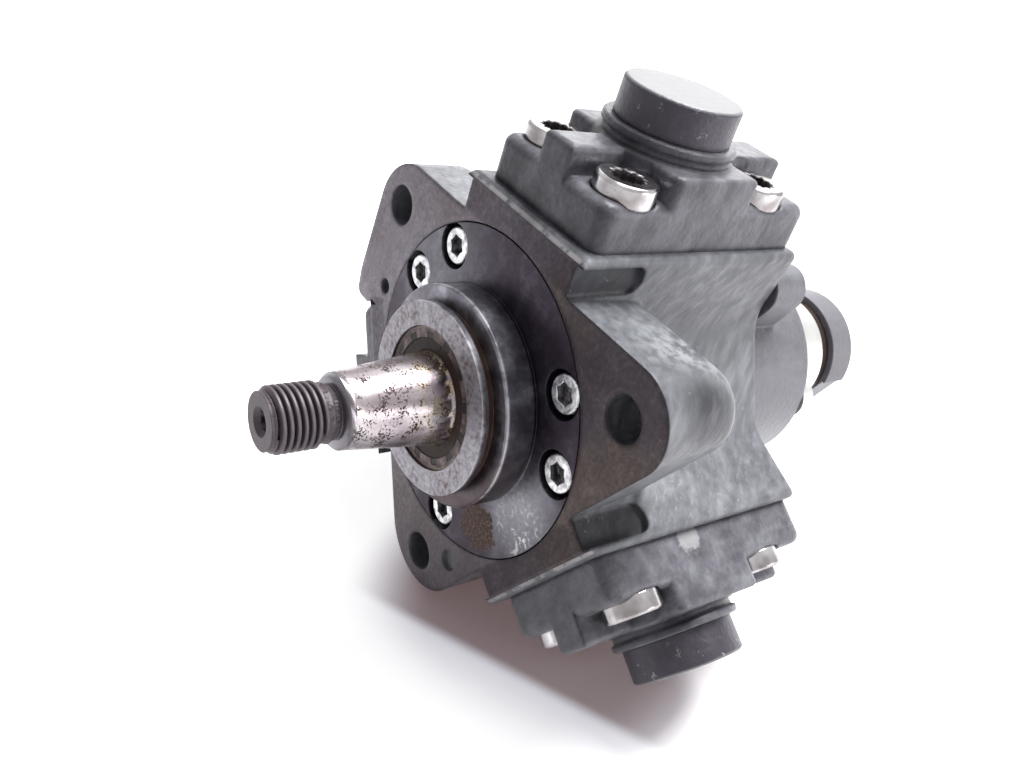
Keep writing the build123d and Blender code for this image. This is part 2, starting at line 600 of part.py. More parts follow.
def housing():
    body = slab(body_outline(), 0, BODY_END_Y)
    body = chamfer(body.edges().group_by(Axis.Y)[-1], REAR_EDGE_CHAMFER)
    for name in HEAD_ANGLES:
        body -= side_pockets(name)
        body -= seat_edge_cut(name)
    body += wedge_lug(30, LUG_FLANK_REACH, RIGHT_LUG_TIP_RADIUS, RIGHT_LUG_DEPTH,
                      RIGHT_LUG_TAPER, LUG_REAR_ROUND)
    body += wedge_lug(270, BOTTOM_LUG_REACH, BOTTOM_LUG_TIP_RADIUS, SIDE_LUG_DEPTH,
                      1, SIDE_LUG_REAR_ROUND)
    body += left_lug()
    for angle in COVER_SCREW_ANGLES:
        x, z = on_circle(COVER_SCREW_PITCH_RADIUS, angle)
        body += bar(x, z, SCREW_BOSS_RADIUS, COVER_THICKNESS, SCREW_BOSS_END_Y)
    boss = Cylinder(OUTLET_BOSS_RADIUS, OUTLET_BOSS_RISE + OUTLET_BOSS_ROOT,
                    align=(Align.CENTER, Align.CENTER, Align.MAX))
    body += outward(OUTLET_ANGLE, OUTLET_Y, Pos(0, 0, OUTLET_BOSS_TOP) * boss)

    cuts = bar(0, 0, COVER_RADIUS + COVER_GAP, -1, COVER_THICKNESS)
    cuts += bar(0, 0, CHAMBER_RADIUS, 0, CHAMBER_END_Y)
    rear_bore = REAR_JOURNAL_RADIUS + RUNNING_CLEARANCE + BUSH_WALL
    cuts += bar(0, 0, rear_bore, CHAMBER_END_Y - 1, REAR_BUSH_END_Y)
    cuts += bar(0, 0, REAR_WALL_HOLE_RADIUS, REAR_BUSH_END_Y - 1, BODY_END_Y + 1)
    body -= cuts
    for angle in WAIST_ANGLES:
        x, z = on_circle(LUG_PITCH_RADIUS, angle)
        body -= bar(x, z, LUG_HOLE_RADIUS, -1, RIGHT_LUG_DEPTH + 1)
    body -= bar(*DOWEL_HOLE, DOWEL_HOLE_RADIUS, -1, SIDE_LUG_DEPTH + 1)
    body -= bar(*DIMPLE, DIMPLE_RADIUS, -1, DIMPLE_DEPTH)
    for angle in COVER_SCREW_ANGLES:
        x, z = on_circle(COVER_SCREW_PITCH_RADIUS, angle)
        end = COVER_COUNTERBORE_DEPTH + COVER_SCREW_LENGTH + 1
        body -= bar(x, z, COVER_SCREW_SHANK_RADIUS + THREAD_CLEARANCE, COVER_THICKNESS - 1, end)
    for angle in REAR_EAR_ANGLES:
        x, z = on_circle(REAR_EAR_PITCH_RADIUS, angle)
        start = BODY_END_Y - REAR_SCREW_GRIP - 1
        body -= bar(x, z, REAR_SCREW_RADIUS + THREAD_CLEARANCE, start, BODY_END_Y + 1)
    x, z = on_circle(RETURN_DRILL_PITCH_RADIUS, RETURN_ANGLE)
    body -= bar(x, z, RETURN_DRILL_RADIUS, CHAMBER_END_Y - 1, BODY_END_Y + 1)
    for name in HEAD_ANGLES:
        drill = Cylinder(HEAD_BOLT_RADIUS + THREAD_CLEARANCE, HEAD_BOLT_LENGTH + 1,
                         align=(Align.CENTER, Align.CENTER, Align.MAX))
        bore = Cylinder(HEAD_BORE_RADIUS, SEAT_HEIGHT, align=(Align.CENTER, Align.CENTER, Align.MIN))
        body -= at_head(name, Pos(0, 0, 1) * bore)
        for x, y in head_bolt_places():
            body -= at_head(name, Pos(x, y, BOLT_SEAT_HEIGHT) * drill)
    stem = Cylinder(UNION_STEM_RADIUS + THREAD_CLEARANCE, UNION_STEM_LENGTH + 1,
                    align=(Align.CENTER, Align.CENTER, Align.MAX))
    body -= outward(OUTLET_ANGLE, OUTLET_Y, Pos(0, 0, OUTLET_BOSS_TOP + 1) * stem)
    return body


# Front cover: turned part with the pilot, seal pocket and front bearing
def cover_screws_on(piece):
    """Repeats a piece, made about +Z, at the six cover screws, +Z towards the drive end."""
    copies = []
    for angle in COVER_SCREW_ANGLES:
        x, z = on_circle(COVER_SCREW_PITCH_RADIUS, angle)
        copies.append(along_shaft(x, z, COVER_COUNTERBORE_DEPTH, piece))
    return copies


def front_cover():
    bush_outer = FRONT_JOURNAL_RADIUS + RUNNING_CLEARANCE + BUSH_WALL
    spigot = CHAMBER_RADIUS - COVER_SPIGOT_CLEARANCE
    groove_floor = CHAMBER_RADIUS - 2 * COVER_RING_WIRE_RADIUS
    groove_end = COVER_RING_GROOVE_Y + 2.3 * COVER_RING_WIRE_RADIUS
    cover = turned([
        (SEAL_POCKET_RADIUS, NOSE_FRONT_Y),
        (NOSE_RADIUS, NOSE_FRONT_Y),
        (NOSE_RADIUS, NOSE_FRONT_Y + NOSE_LIP_WIDTH),
        (NOSE_GROOVE_RADIUS, NOSE_FRONT_Y + NOSE_LIP_WIDTH),
        (NOSE_GROOVE_RADIUS, PILOT_FRONT_Y),
        (PILOT_RADIUS - PILOT_CHAMFER, PILOT_FRONT_Y),
        (PILOT_RADIUS, PILOT_FRONT_Y + PILOT_CHAMFER),
        (PILOT_RADIUS, 0),
        (COVER_RADIUS, 0),
        (COVER_RADIUS, COVER_THICKNESS),
        (spigot, COVER_THICKNESS),
        (spigot, COVER_RING_GROOVE_Y),
        (groove_floor, COVER_RING_GROOVE_Y),
        (groove_floor, groove_end),
        (spigot, groove_end),
        (spigot, COVER_SPIGOT_END_Y),
        (COVER_HUB_RADIUS, COVER_SPIGOT_END_Y),
        (COVER_HUB_RADIUS, COVER_HUB_END_Y),
        (bush_outer, COVER_HUB_END_Y),
        (bush_outer, FRONT_BUSH_START_Y),
        (FRONT_JOURNAL_RADIUS + BUSH_WALL / 2, FRONT_BUSH_START_Y),
        (FRONT_JOURNAL_RADIUS + BUSH_WALL / 2, SEAL_BACK_Y),
        (SEAL_POCKET_RADIUS, SEAL_BACK_Y),
    ])
    clearance = Cylinder(COVER_SCREW_SHANK_RADIUS + 0.25, 2 * COVER_THICKNESS)
    sink = Cylinder(COVER_COUNTERBORE_RADIUS, COVER_THICKNESS,
                    align=(Align.CENTER, Align.CENTER, Align.MIN))
    for cut in cover_screws_on(clearance + sink):
        cover -= cut
    return cover


def cover_screws():
    screw = socket_screw(COVER_SCREW_SHANK_RADIUS, COVER_SCREW_LENGTH, COVER_SCREW_HEAD_RADIUS,
                         COVER_SCREW_HEAD_HEIGHT, SCREW_LOBES)
    return Compound(children=cover_screws_on(screw))


def cover_seal_ring():
    ring = Torus(CHAMBER_RADIUS - COVER_RING_WIRE_RADIUS, COVER_RING_WIRE_RADIUS)
    return Pos(0, COVER_RING_GROOVE_Y + 1.15 * COVER_RING_WIRE_RADIUS, 0) * Rot(90, 0, 0) * ring


# Shaft seal: pressed case, rubber lip and garter spring
def shaft_seal_case():
    outer = SEAL_POCKET_RADIUS - SEAL_FIT
    inner = outer - SEAL_CASE_WALL
    return turned([
        (outer, SEAL_FACE_Y),
        (outer, SEAL_BACK_Y),
        (inner, SEAL_BACK_Y),
        (inner, SEAL_FACE_Y + SEAL_CASE_WALL),
        (SEAL_WEB_RADIUS, SEAL_FACE_Y + SEAL_CASE_WALL),
        (SEAL_WEB_RADIUS, SEAL_FACE_Y),
    ])


def shaft_seal_lip():
    """Rubber bonded to the case's web: a dust lip in front and the sealing lip behind."""
    land = SEAL_LAND_RADIUS + RUNNING_CLEARANCE
    outer = SEAL_POCKET_RADIUS - SEAL_FIT - SEAL_CASE_WALL
    web_back = SEAL_FACE_Y + SEAL_CASE_WALL
    return turned([
        (SEAL_WEB_RADIUS, SEAL_FACE_Y + 0.2),
        (SEAL_WEB_RADIUS, web_back),
        (outer, web_back),
        (outer, web_back + 0.6),
        (SEAL_WEB_RADIUS - 0.2, web_back + 0.6),
        (land + SEAL_LIP_WALL, SEAL_BACK_Y - 2.4),
        (land + SEAL_LIP_WALL, SEAL_BACK_Y - 1.0),
        (land, SEAL_BACK_Y - 1.6),
        (land + 0.5, web_back),
        (land, SEAL_FACE_Y + 0.2),
    ])


def seal_garter_spring():
    centre = SEAL_LAND_RADIUS + RUNNING_CLEARANCE + SEAL_LIP_WALL + GARTER_WIRE_RADIUS
    ring = Torus(centre + 0.02, GARTER_WIRE_RADIUS)
    return Pos(0, SEAL_BACK_Y - 1.7, 0) * Rot(90, 0, 0) * ring


# Drive shaft, its bearings and the cam ring
def drive_shaft():
    core = ECCENTRIC_RADIUS - ECCENTRICITY - 0.5
    outline = [(CENTRE_HOLE_RADIUS, SHAFT_TIP_Y), (THREAD_RADIUS - TIP_CHAMFER, SHAFT_TIP_Y)]
    y = SHAFT_TIP_Y + TIP_CHAMFER
    crest = THREAD_PITCH * 0.14
    while y + THREAD_PITCH < THREAD_END_Y:
        outline += [
            (THREAD_RADIUS, y),
            (THREAD_RADIUS, y + crest),
            (THREAD_ROOT_RADIUS, y + THREAD_PITCH / 2),
            (THREAD_ROOT_RADIUS, y + THREAD_PITCH / 2 + crest),
        ]
        y += THREAD_PITCH
    outline += [
        (THREAD_RADIUS, y),
        (THREAD_RADIUS, THREAD_END_Y),
        (THREAD_NECK_RADIUS, THREAD_END_Y + (THREAD_RADIUS - THREAD_NECK_RADIUS)),
        (THREAD_NECK_RADIUS, TAPER_START_Y),
        (TAPER_START_RADIUS - TAPER_CHAMFER, TAPER_START_Y),
        (TAPER_START_RADIUS, TAPER_START_Y + TAPER_CHAMFER),
        (TAPER_END_RADIUS, TAPER_END_Y),
        (SEAL_LAND_RADIUS, TAPER_END_Y + 0.6),
        (SEAL_LAND_RADIUS, FRONT_JOURNAL_Y),
        (FRONT_JOURNAL_RADIUS, FRONT_JOURNAL_Y + 0.5),
        (FRONT_JOURNAL_RADIUS, FRONT_SHOULDER_Y),
        (SHAFT_SHOULDER_RADIUS, FRONT_SHOULDER_Y),
        (SHAFT_SHOULDER_RADIUS, ECCENTRIC_START_Y),
        (core, ECCENTRIC_START_Y),
        (core, ECCENTRIC_END_Y),
        (SHAFT_SHOULDER_RADIUS, ECCENTRIC_END_Y),
        (SHAFT_SHOULDER_RADIUS, REAR_SHOULDER_Y),
        (REAR_JOURNAL_RADIUS, REAR_SHOULDER_Y),
        (REAR_JOURNAL_RADIUS, REAR_JOURNAL_END_Y - 0.8),
        (REAR_JOURNAL_RADIUS - 0.8, REAR_JOURNAL_END_Y),
        (0, REAR_JOURNAL_END_Y),
        (0, SHAFT_TIP_Y + CENTRE_HOLE_DEPTH + CENTRE_HOLE_RADIUS * 0.6),
        (CENTRE_HOLE_RADIUS * 0.7, SHAFT_TIP_Y + CENTRE_HOLE_DEPTH),
        (CENTRE_HOLE_RADIUS * 0.7, SHAFT_TIP_Y + 1.2),
    ]
    shaft = turned(outline)
    return shaft + bar(0, ECCENTRICITY, ECCENTRIC_RADIUS, ECCENTRIC_START_Y, ECCENTRIC_END_Y)


def front_bush():
    inner = FRONT_JOURNAL_RADIUS + RUNNING_CLEARANCE
    bush = bar(0, 0, inner + BUSH_WALL, FRONT_BUSH_START_Y, COVER_HUB_END_Y)
    return bush - bar(0, 0, inner, FRONT_BUSH_START_Y - 1, COVER_HUB_END_Y + 1)


def rear_bush():
    inner = REAR_JOURNAL_RADIUS + RUNNING_CLEARANCE
    bush = bar(0, 0, inner + BUSH_WALL, CHAMBER_END_Y, REAR_BUSH_END_Y)
    return bush - bar(0, 0, inner, CHAMBER_END_Y - 1, REAR_BUSH_END_Y + 1)


def thrust_washers():
    washers = []
    for start, journal in ((COVER_HUB_END_Y, FRONT_JOURNAL_RADIUS),
                           (CHAMBER_END_Y - THRUST_WASHER_THICKNESS, REAR_JOURNAL_RADIUS)):
        end = start + THRUST_WASHER_THICKNESS
        disc = bar(0, 0, THRUST_WASHER_RADIUS, start, end)
        washers.append(disc - bar(0, 0, journal + 0.1, start - 1, end + 1))
    return Compound(children=washers)


def cam_ring():
    """Round ring with a flat towards each plunger; it circles with the eccentric but never turns."""
    start = HEAD_Y - CAM_RING_WIDTH / 2
    end = HEAD_Y + CAM_RING_WIDTH / 2
    ring = bar(0, 0, CAM_RING_OUTER_RADIUS, start, end)
    for angle in HEAD_ANGLES.values():
        block = Box(3 * CAM_RING_OUTER_RADIUS, 2 * CAM_RING_WIDTH, CAM_RING_OUTER_RADIUS,
                    align=(Align.CENTER, Align.CENTER, Align.MIN))
        ring -= outward(angle, HEAD_Y, Pos(0, 0, CAM_RING_FLAT_DISTANCE) * block)
    ring -= bar(0, 0, CAM_BORE_RADIUS, start - 1, end + 1)
    return Pos(0, 0, ECCENTRICITY) * ring


def cam_ring_bush():
    start = HEAD_Y - CAM_RING_WIDTH / 2
    end = HEAD_Y + CAM_RING_WIDTH / 2
    bush = bar(0, 0, CAM_BORE_RADIUS, start, end)
    bush -= bar(0, 0, CAM_BORE_RADIUS - CAM_BUSH_WALL, start - 1, end + 1)
    return Pos(0, 0, ECCENTRICITY) * bush


# Plunger group, in the head's own frame
def plunger():
    edge = 0.4
    return turned_upright([
        (0, FOOT_HIGH),
        (PLUNGER_HEAD_RADIUS, FOOT_HIGH),
        (PLUNGER_HEAD_RADIUS, RETAINER_LOW),
        (PLUNGER_RADIUS, RETAINER_LOW),
        (PLUNGER_RADIUS, PLUNGER_TOP - edge),
        (PLUNGER_RADIUS - edge, PLUNGER_TOP),
        (0, PLUNGER_TOP),
    ])


def plunger_foot():
    """The foot plate with the cup rolled over the plunger's head, where the spring bears."""
    edge = 0.6
    return turned_upright([
        (0, FOOT_LOW),
        (FOOT_RADIUS - edge, FOOT_LOW),
        (FOOT_RADIUS, FOOT_LOW + edge),
        (FOOT_RADIUS, FOOT_HIGH),
        (RETAINER_RADIUS, FOOT_HIGH),
        (RETAINER_RADIUS, RETAINER_HIGH),
        (PLUNGER_RADIUS + 0.1, RETAINER_HIGH),
        (PLUNGER_RADIUS + 0.1, RETAINER_LOW),
        (PLUNGER_HEAD_RADIUS + 0.1, RETAINER_LOW),
        (PLUNGER_HEAD_RADIUS + 0.1, FOOT_HIGH),
        (0, FOOT_HIGH),
    ])


def plunger_spring():
    return coil(PLUNGER_SPRING_MEAN_RADIUS, PLUNGER_SPRING_WIRE_RADIUS, PLUNGER_SPRING_TURNS,
                RETAINER_HIGH, SPRING_POCKET_TOP)


# Cylinder head, in its own frame
def head_plate():
    """The plate on the seat: round corners, a soft upper edge and a rear end that leans back."""
    length = HEAD_FRONT + HEAD_REAR
    middle = (HEAD_REAR - HEAD_FRONT) / 2
    outline = RectangleRounded(2 * HEAD_HALF_WIDTH, length, HEAD_CORNER_ROUND)
    plate = Pos(0, middle, SEAT_HEIGHT) * extrude(outline, amount=HEAD_PLATE_THICKNESS)
    plate = fillet(plate.faces().sort_by(Axis.Z)[-1].edges(), PLATE_EDGE_ROUND)
    lean = make_face(Polyline((HEAD_REAR - HEAD_REAR_UNDERCUT, SEAT_HEIGHT), (HEAD_REAR + 1, SEAT_HEIGHT),
                              (HEAD_REAR + 1, PLATE_TOP), (HEAD_REAR, PLATE_TOP - PLATE_EDGE_ROUND),
                              close=True))
    return plate - extrude(Plane.YZ.offset(-HEAD_HALF_WIDTH - 1) * lean, amount=2 * HEAD_HALF_WIDTH + 2)


def head_arms():
    """The cross above the plate: two broad side arms, a narrow front arm and a rear arm."""
    side_arms = RectangleRounded(2 * HEAD_HALF_WIDTH, 2 * SIDE_ARM_HALF_LENGTH, ARM_CORNER_ROUND)
    front_arm = Pos(0, -HEAD_FRONT / 2) * Rectangle(2 * FRONT_ARM_HALF_WIDTH, HEAD_FRONT)
    rear_arm = Pos(0, HEAD_REAR / 2) * Rectangle(2 * REAR_ARM_HALF_WIDTH, HEAD_REAR)
    cross = side_arms + front_arm + rear_arm
    foot = PLATE_TOP - PLATE_EDGE_ROUND
    arms = Pos(0, 0, foot) * extrude(cross, amount=ARM_TOP - foot)
    return fillet(arms.faces().sort_by(Axis.Z)[-1].edges(), ARM_EDGE_ROUND)


def head_block():
    upper = head_plate() + head_arms()
    tower = turned_upright([
        (0, SEAT_HEIGHT + 1),
        (TOWER_RADIUS, SEAT_HEIGHT + 1),
        (TOWER_RADIUS, TOWER_NECK_LOW - 0.8),
        (TOWER_RADIUS - 0.8, TOWER_NECK_LOW),
        (TOWER_NECK_RADIUS, TOWER_NECK_LOW),
        (TOWER_NECK_RADIUS, TOWER_NECK_HIGH),
        (COLLAR_RADIUS, TOWER_NECK_HIGH + 0.4),
        (COLLAR_RADIUS, COLLAR_TOP - 0.4),
        (COLLAR_RADIUS - 0.4, COLLAR_TOP),
        (0, COLLAR_TOP),
    ])
    upper += tower
    spigot_radius = HEAD_BORE_RADIUS - SPIGOT_CLEARANCE
    groove_floor = HEAD_BORE_RADIUS - 2 * HEAD_RING_WIRE_RADIUS
    groove_low = HEAD_RING_GROOVE_HEIGHT - 1.15 * HEAD_RING_WIRE_RADIUS
    groove_high = HEAD_RING_GROOVE_HEIGHT + 1.15 * HEAD_RING_WIRE_RADIUS
    spigot = turned_upright([
        (0, SPIGOT_END),
        (GUIDE_RADIUS, SPIGOT_END),
        (GUIDE_RADIUS, SPRING_POCKET_TOP),
        (SPRING_POCKET_RADIUS, SPRING_POCKET_TOP),
        (SPRING_POCKET_RADIUS, SPIGOT_END),
        (spigot_radius - 0.6, SPIGOT_END),
        (spigot_radius, SPIGOT_END + 0.6),
        (spigot_radius, groove_low),
        (groove_floor, groove_low),
        (groove_floor, groove_high),
        (spigot_radius, groove_high),
        (spigot_radius, SEAT_HEIGHT),
        (0, SEAT_HEIGHT),
    ])
    return upper + spigot


def cylinder_head():
    head = head_block()
    low_up = (Align.CENTER, Align.CENTER, Align.MIN)
    head -= Pos(0, 0, SPIGOT_END - 1) * Cylinder(
        PLUNGER_RADIUS + PLUNGER_CLEARANCE, PUMPING_CHAMBER_LOW - SPIGOT_END + 2, align=low_up)
    head -= Pos(0, 0, PUMPING_CHAMBER_LOW) * Cylinder(
        PUMPING_CHAMBER_RADIUS, PLUG_STEM_END - PUMPING_CHAMBER_LOW + 1, align=low_up)
    head -= Pos(0, 0, PLUG_STEM_END) * Cylinder(
        PLUG_STEM_RADIUS + PLUG_STEM_CLEARANCE, COLLAR_TOP - PLUG_STEM_END + 1, align=low_up)
    for x, y in head_bolt_places():
        head -= Pos(x, y, SEAT_HEIGHT - 1) * Cylinder(
            HEAD_BOLT_HOLE_RADIUS, PLATE_TOP - SEAT_HEIGHT + 2, align=low_up)
        head -= Pos(x, y, BOLT_SEAT_HEIGHT) * Cylinder(
            HEAD_BOLT_SPOT_RADIUS, ARM_TOP - BOLT_SEAT_HEIGHT + 1, align=low_up)
    back = Plane(origin=(0, 0, DISCHARGE_HEIGHT), x_dir=(1, 0, 0), z_dir=(0, 1, 0))
    head -= extrude(back * Circle(DISCHARGE_PASSAGE_RADIUS), amount=DISCHARGE_SEAT_Y + 1)
    head -= extrude(back.offset(DISCHARGE_SEAT_Y) * Circle(DISCHARGE_BORE_RADIUS),
                    amount=DISCHARGE_PLUG_START_Y - DISCHARGE_SEAT_Y + 1)
    head -= extrude(back.offset(DISCHARGE_PLUG_START_Y) * Circle(DISCHARGE_PLUG_RADIUS + THREAD_CLEARANCE),
                    amount=HEAD_REAR - DISCHARGE_PLUG_START_Y + 1)
    head -= Pos(0, OUTFLOW_DRILL_Y, SEAT_HEIGHT - 1) * Cylinder(
        OUTFLOW_DRILL_RADIUS, DISCHARGE_HEIGHT - SEAT_HEIGHT + 1, align=low_up)
    return head


def head_seal_ring():
    ring = Torus(HEAD_BORE_RADIUS - HEAD_RING_WIRE_RADIUS, HEAD_RING_WIRE_RADIUS)
    return Pos(0, 0, HEAD_RING_GROOVE_HEIGHT) * ring


def head_bolt():
    return socket_screw(HEAD_BOLT_RADIUS, HEAD_BOLT_LENGTH, HEAD_BOLT_HEAD_RADIUS,
                        HEAD_BOLT_HEAD_HEIGHT, SOCKET_POINTS)


def valve_plug():
    stem = PLUG_STEM_RADIUS
    plug = turned_upright([
        (VALVE_GUIDE_RADIUS, PLUG_STEM_END),
        (stem - 0.5, PLUG_STEM_END),
        (stem, PLUG_STEM_END + 0.5),
        (stem, COLLAR_TOP),
        (PLUG_CAP_RADIUS, COLLAR_TOP),
        (PLUG_CAP_RADIUS, PLUG_CAP_TOP - PLUG_CAP_CHAMFER),
        (PLUG_CAP_RADIUS - PLUG_CAP_CHAMFER, PLUG_CAP_TOP),
        (0, PLUG_CAP_TOP),
        (0, VALVE_SPRING_ROOM_TOP),
        (VALVE_SPRING_ROOM_RADIUS, VALVE_SPRING_ROOM_TOP),
        (VALVE_SPRING_ROOM_RADIUS, PLUG_WEB_TOP),
        (VALVE_GUIDE_RADIUS, PLUG_WEB_TOP),
    ])
    for step in range(3):
        x = FEED_HOLE_PITCH_RADIUS * cos(2 * pi * step / 3)
        y = FEED_HOLE_PITCH_RADIUS * sin(2 * pi * step / 3)
        plug -= Pos(x, y, PLUG_WEB_TOP) * Cylinder(FEED_HOLE_RADIUS, 3 * PLUG_WEB_THICKNESS)
    return plug


def suction_valve():
    """The mushroom valve and, as a second piece, the split collar that its spring lifts."""
    low = PLUG_STEM_END - SUCTION_SEAT_GAP - SUCTION_DISC_THICKNESS
    high = PLUG_STEM_END - SUCTION_SEAT_GAP
    stem = turned_upright([
        (0, low),
        (SUCTION_DISC_RADIUS - 0.5, low),
        (SUCTION_DISC_RADIUS, high - 0.6),
        (SUCTION_DISC_RADIUS, high),
        (SUCTION_STEM_RADIUS, high),
        (SUCTION_STEM_RADIUS, SUCTION_STEM_TOP - 0.3),
        (SUCTION_STEM_RADIUS - 0.3, SUCTION_STEM_TOP),
        (0, SUCTION_STEM_TOP),
    ])
    top = SUCTION_RETAINER_LOW + SUCTION_RETAINER_THICKNESS
    retainer = turned_upright([
        (SUCTION_STEM_RADIUS + PLUNGER_CLEARANCE, SUCTION_RETAINER_LOW),
        (SUCTION_RETAINER_RADIUS, SUCTION_RETAINER_LOW),
        (SUCTION_RETAINER_RADIUS, top),
        (SUCTION_STEM_RADIUS + PLUNGER_CLEARANCE, top),
    ])
    return stem, retainer


def suction_valve_spring():
    return coil(SUCTION_SPRING_MEAN_RADIUS, SUCTION_SPRING_WIRE_RADIUS, SUCTION_SPRING_TURNS,
                PLUG_WEB_TOP, SUCTION_RETAINER_LOW)


def ball_rest_y():
    """Where the discharge ball's centre lies when it is closed on the edge of its seat."""
    rise = sqrt(DISCHARGE_BALL_RADIUS ** 2 - DISCHARGE_PASSAGE_RADIUS ** 2)
    return DISCHARGE_SEAT_Y + rise + DISCHARGE_BALL_GAP


def discharge_ball():
    return Pos(0, ball_rest_y(), DISCHARGE_HEIGHT) * Sphere(DISCHARGE_BALL_RADIUS)


def discharge_spring():
    spring = coil(DISCHARGE_SPRING_MEAN_RADIUS, DISCHARGE_SPRING_WIRE_RADIUS, DISCHARGE_SPRING_TURNS,
                  ball_rest_y() + DISCHARGE_BALL_RADIUS * 0.75, DISCHARGE_PLUG_START_Y)
    return Pos(0, 0, DISCHARGE_HEIGHT) * Rot(-90, 0, 0) * spring


def discharge_plug():
    length = HEAD_REAR - DISCHARGE_PLUG_START_Y
    plug = Cylinder(DISCHARGE_PLUG_RADIUS, length, align=(Align.CENTER, Align.CENTER, Align.MIN))
    hexagon = RegularPolygon(DISCHARGE_PLUG_SOCKET_RADIUS, 6, major_radius=False)
    plug -= Pos(0, 0, length / 2) * extrude(hexagon, amount=length)
    return Pos(0, DISCHARGE_PLUG_START_Y, DISCHARGE_HEIGHT) * Rot(-90, 0, 0) * plug


# Rear cover and the metering valve on it
def ears(angles, pitch_radius, ear_radius, start_y, end_y):
    """Round ears joined to the middle by straight flanks."""
    shape = None
    for angle in angles:
        x, z = on_circle(pitch_radius, angle)
        web = Pos(x / 2, z / 2) * Rot(0, 0, angle) * Rectangle(pitch_radius, 2 * ear_radius)
        ear = slab(web + Pos(x, z) * Circle(ear_radius), start_y, end_y)
        shape = ear if shape is None else shape + ear
    return shape


def rear_cover():
    cover = bar(0, 0, REAR_COVER_RADIUS, BODY_END_Y, REAR_COVER_END_Y)
    cover = fillet(cover.edges().group_by(Axis.Y)[-1], 1.0)
    cover += ears(REAR_EAR_ANGLES, REAR_EAR_PITCH_RADIUS, REAR_EAR_RADIUS, BODY_END_Y,
                  BODY_END_Y + REAR_EAR_THICKNESS)
    cover -= bar(0, 0, NOSE_BORE_RADIUS, VALVE_NOSE_START_Y - 0.5, REAR_COVER_END_Y + 1)
    cover -= bar(0, 0, REAR_FEED_ROOM_RADIUS, REAR_FEED_ROOM_START_Y, VALVE_NOSE_START_Y)
    groove_half = REAR_RING_WIRE_RADIUS * 1.2
    groove = bar(0, 0, REAR_RING_RADIUS + groove_half, BODY_END_Y - 1, BODY_END_Y + REAR_RING_GROOVE_DEPTH)
    groove -= bar(0, 0, REAR_RING_RADIUS - groove_half, BODY_END_Y - 2, BODY_END_Y + 3)
    cover -= groove
    for angle in REAR_EAR_ANGLES:
        x, z = on_circle(REAR_EAR_PITCH_RADIUS, angle)
        ear_end = BODY_END_Y + REAR_EAR_THICKNESS
        cover -= bar(x, z, REAR_SCREW_RADIUS + 0.3, BODY_END_Y - 1, ear_end + 1)
        sink_radius = REAR_SCREW_HEAD_RADIUS + REAR_SCREW_SINK_CLEARANCE
        cover -= bar(x, z, sink_radius, ear_end - REAR_SCREW_SINK, ear_end + 1)
    for angle in VALVE_EAR_ANGLES:
        x, z = on_circle(VALVE_EAR_PITCH_RADIUS, angle)
        cover -= bar(x, z, VALVE_SCREW_RADIUS + THREAD_CLEARANCE,
                     VALVE_FLANGE_END_Y - VALVE_FLANGE_THICKNESS - VALVE_SCREW_GRIP, REAR_COVER_END_Y + 1)
    stem = Cylinder(UNION_STEM_RADIUS + THREAD_CLEARANCE, UNION_STEM_LENGTH + 1,
                    align=(Align.CENTER, Align.CENTER, Align.MAX))
    for angle, y in ((INLET_ANGLE, INLET_Y), (RETURN_ANGLE, RETURN_Y)):
        cover -= outward(angle, y, Pos(0, 0, REAR_COVER_RADIUS + 1) * stem)
    feed = Cylinder(INLET_SPIGOT_RADIUS * UNION_BORE_RATIO, REAR_COVER_RADIUS,
                    align=(Align.CENTER, Align.CENTER, Align.MIN))
    cover -= outward(INLET_ANGLE, INLET_Y, feed)
    back = Cylinder(RETURN_SPIGOT_RADIUS * UNION_BORE_RATIO, REAR_COVER_RADIUS - RETURN_DRILL_PITCH_RADIUS,
                    align=(Align.CENTER, Align.CENTER, Align.MIN))
    cover -= outward(RETURN_ANGLE, RETURN_Y, Pos(0, 0, RETURN_DRILL_PITCH_RADIUS) * back)
    x, z = on_circle(RETURN_DRILL_PITCH_RADIUS, RETURN_ANGLE)
    return cover - bar(x, z, RETURN_DRILL_RADIUS, BODY_END_Y - 1, RETURN_Y)


def rear_cover_screws():
    clamped = REAR_EAR_THICKNESS - REAR_SCREW_SINK
    screw = socket_screw(REAR_SCREW_RADIUS, clamped + REAR_SCREW_GRIP, REAR_SCREW_HEAD_RADIUS,
                         REAR_SCREW_HEAD_HEIGHT, SCREW_LOBES)
    copies = []
    for angle in REAR_EAR_ANGLES:
        x, z = on_circle(REAR_EAR_PITCH_RADIUS, angle)
        copies.append(Pos(x, BODY_END_Y + clamped, z) * Rot(-90, 0, 0) * screw)
    return Compound(children=copies)


def rear_seal_ring():
    ring = Torus(REAR_RING_RADIUS, REAR_RING_WIRE_RADIUS)
    return Pos(0, BODY_END_Y + REAR_RING_GROOVE_DEPTH / 2, 0) * Rot(90, 0, 0) * ring


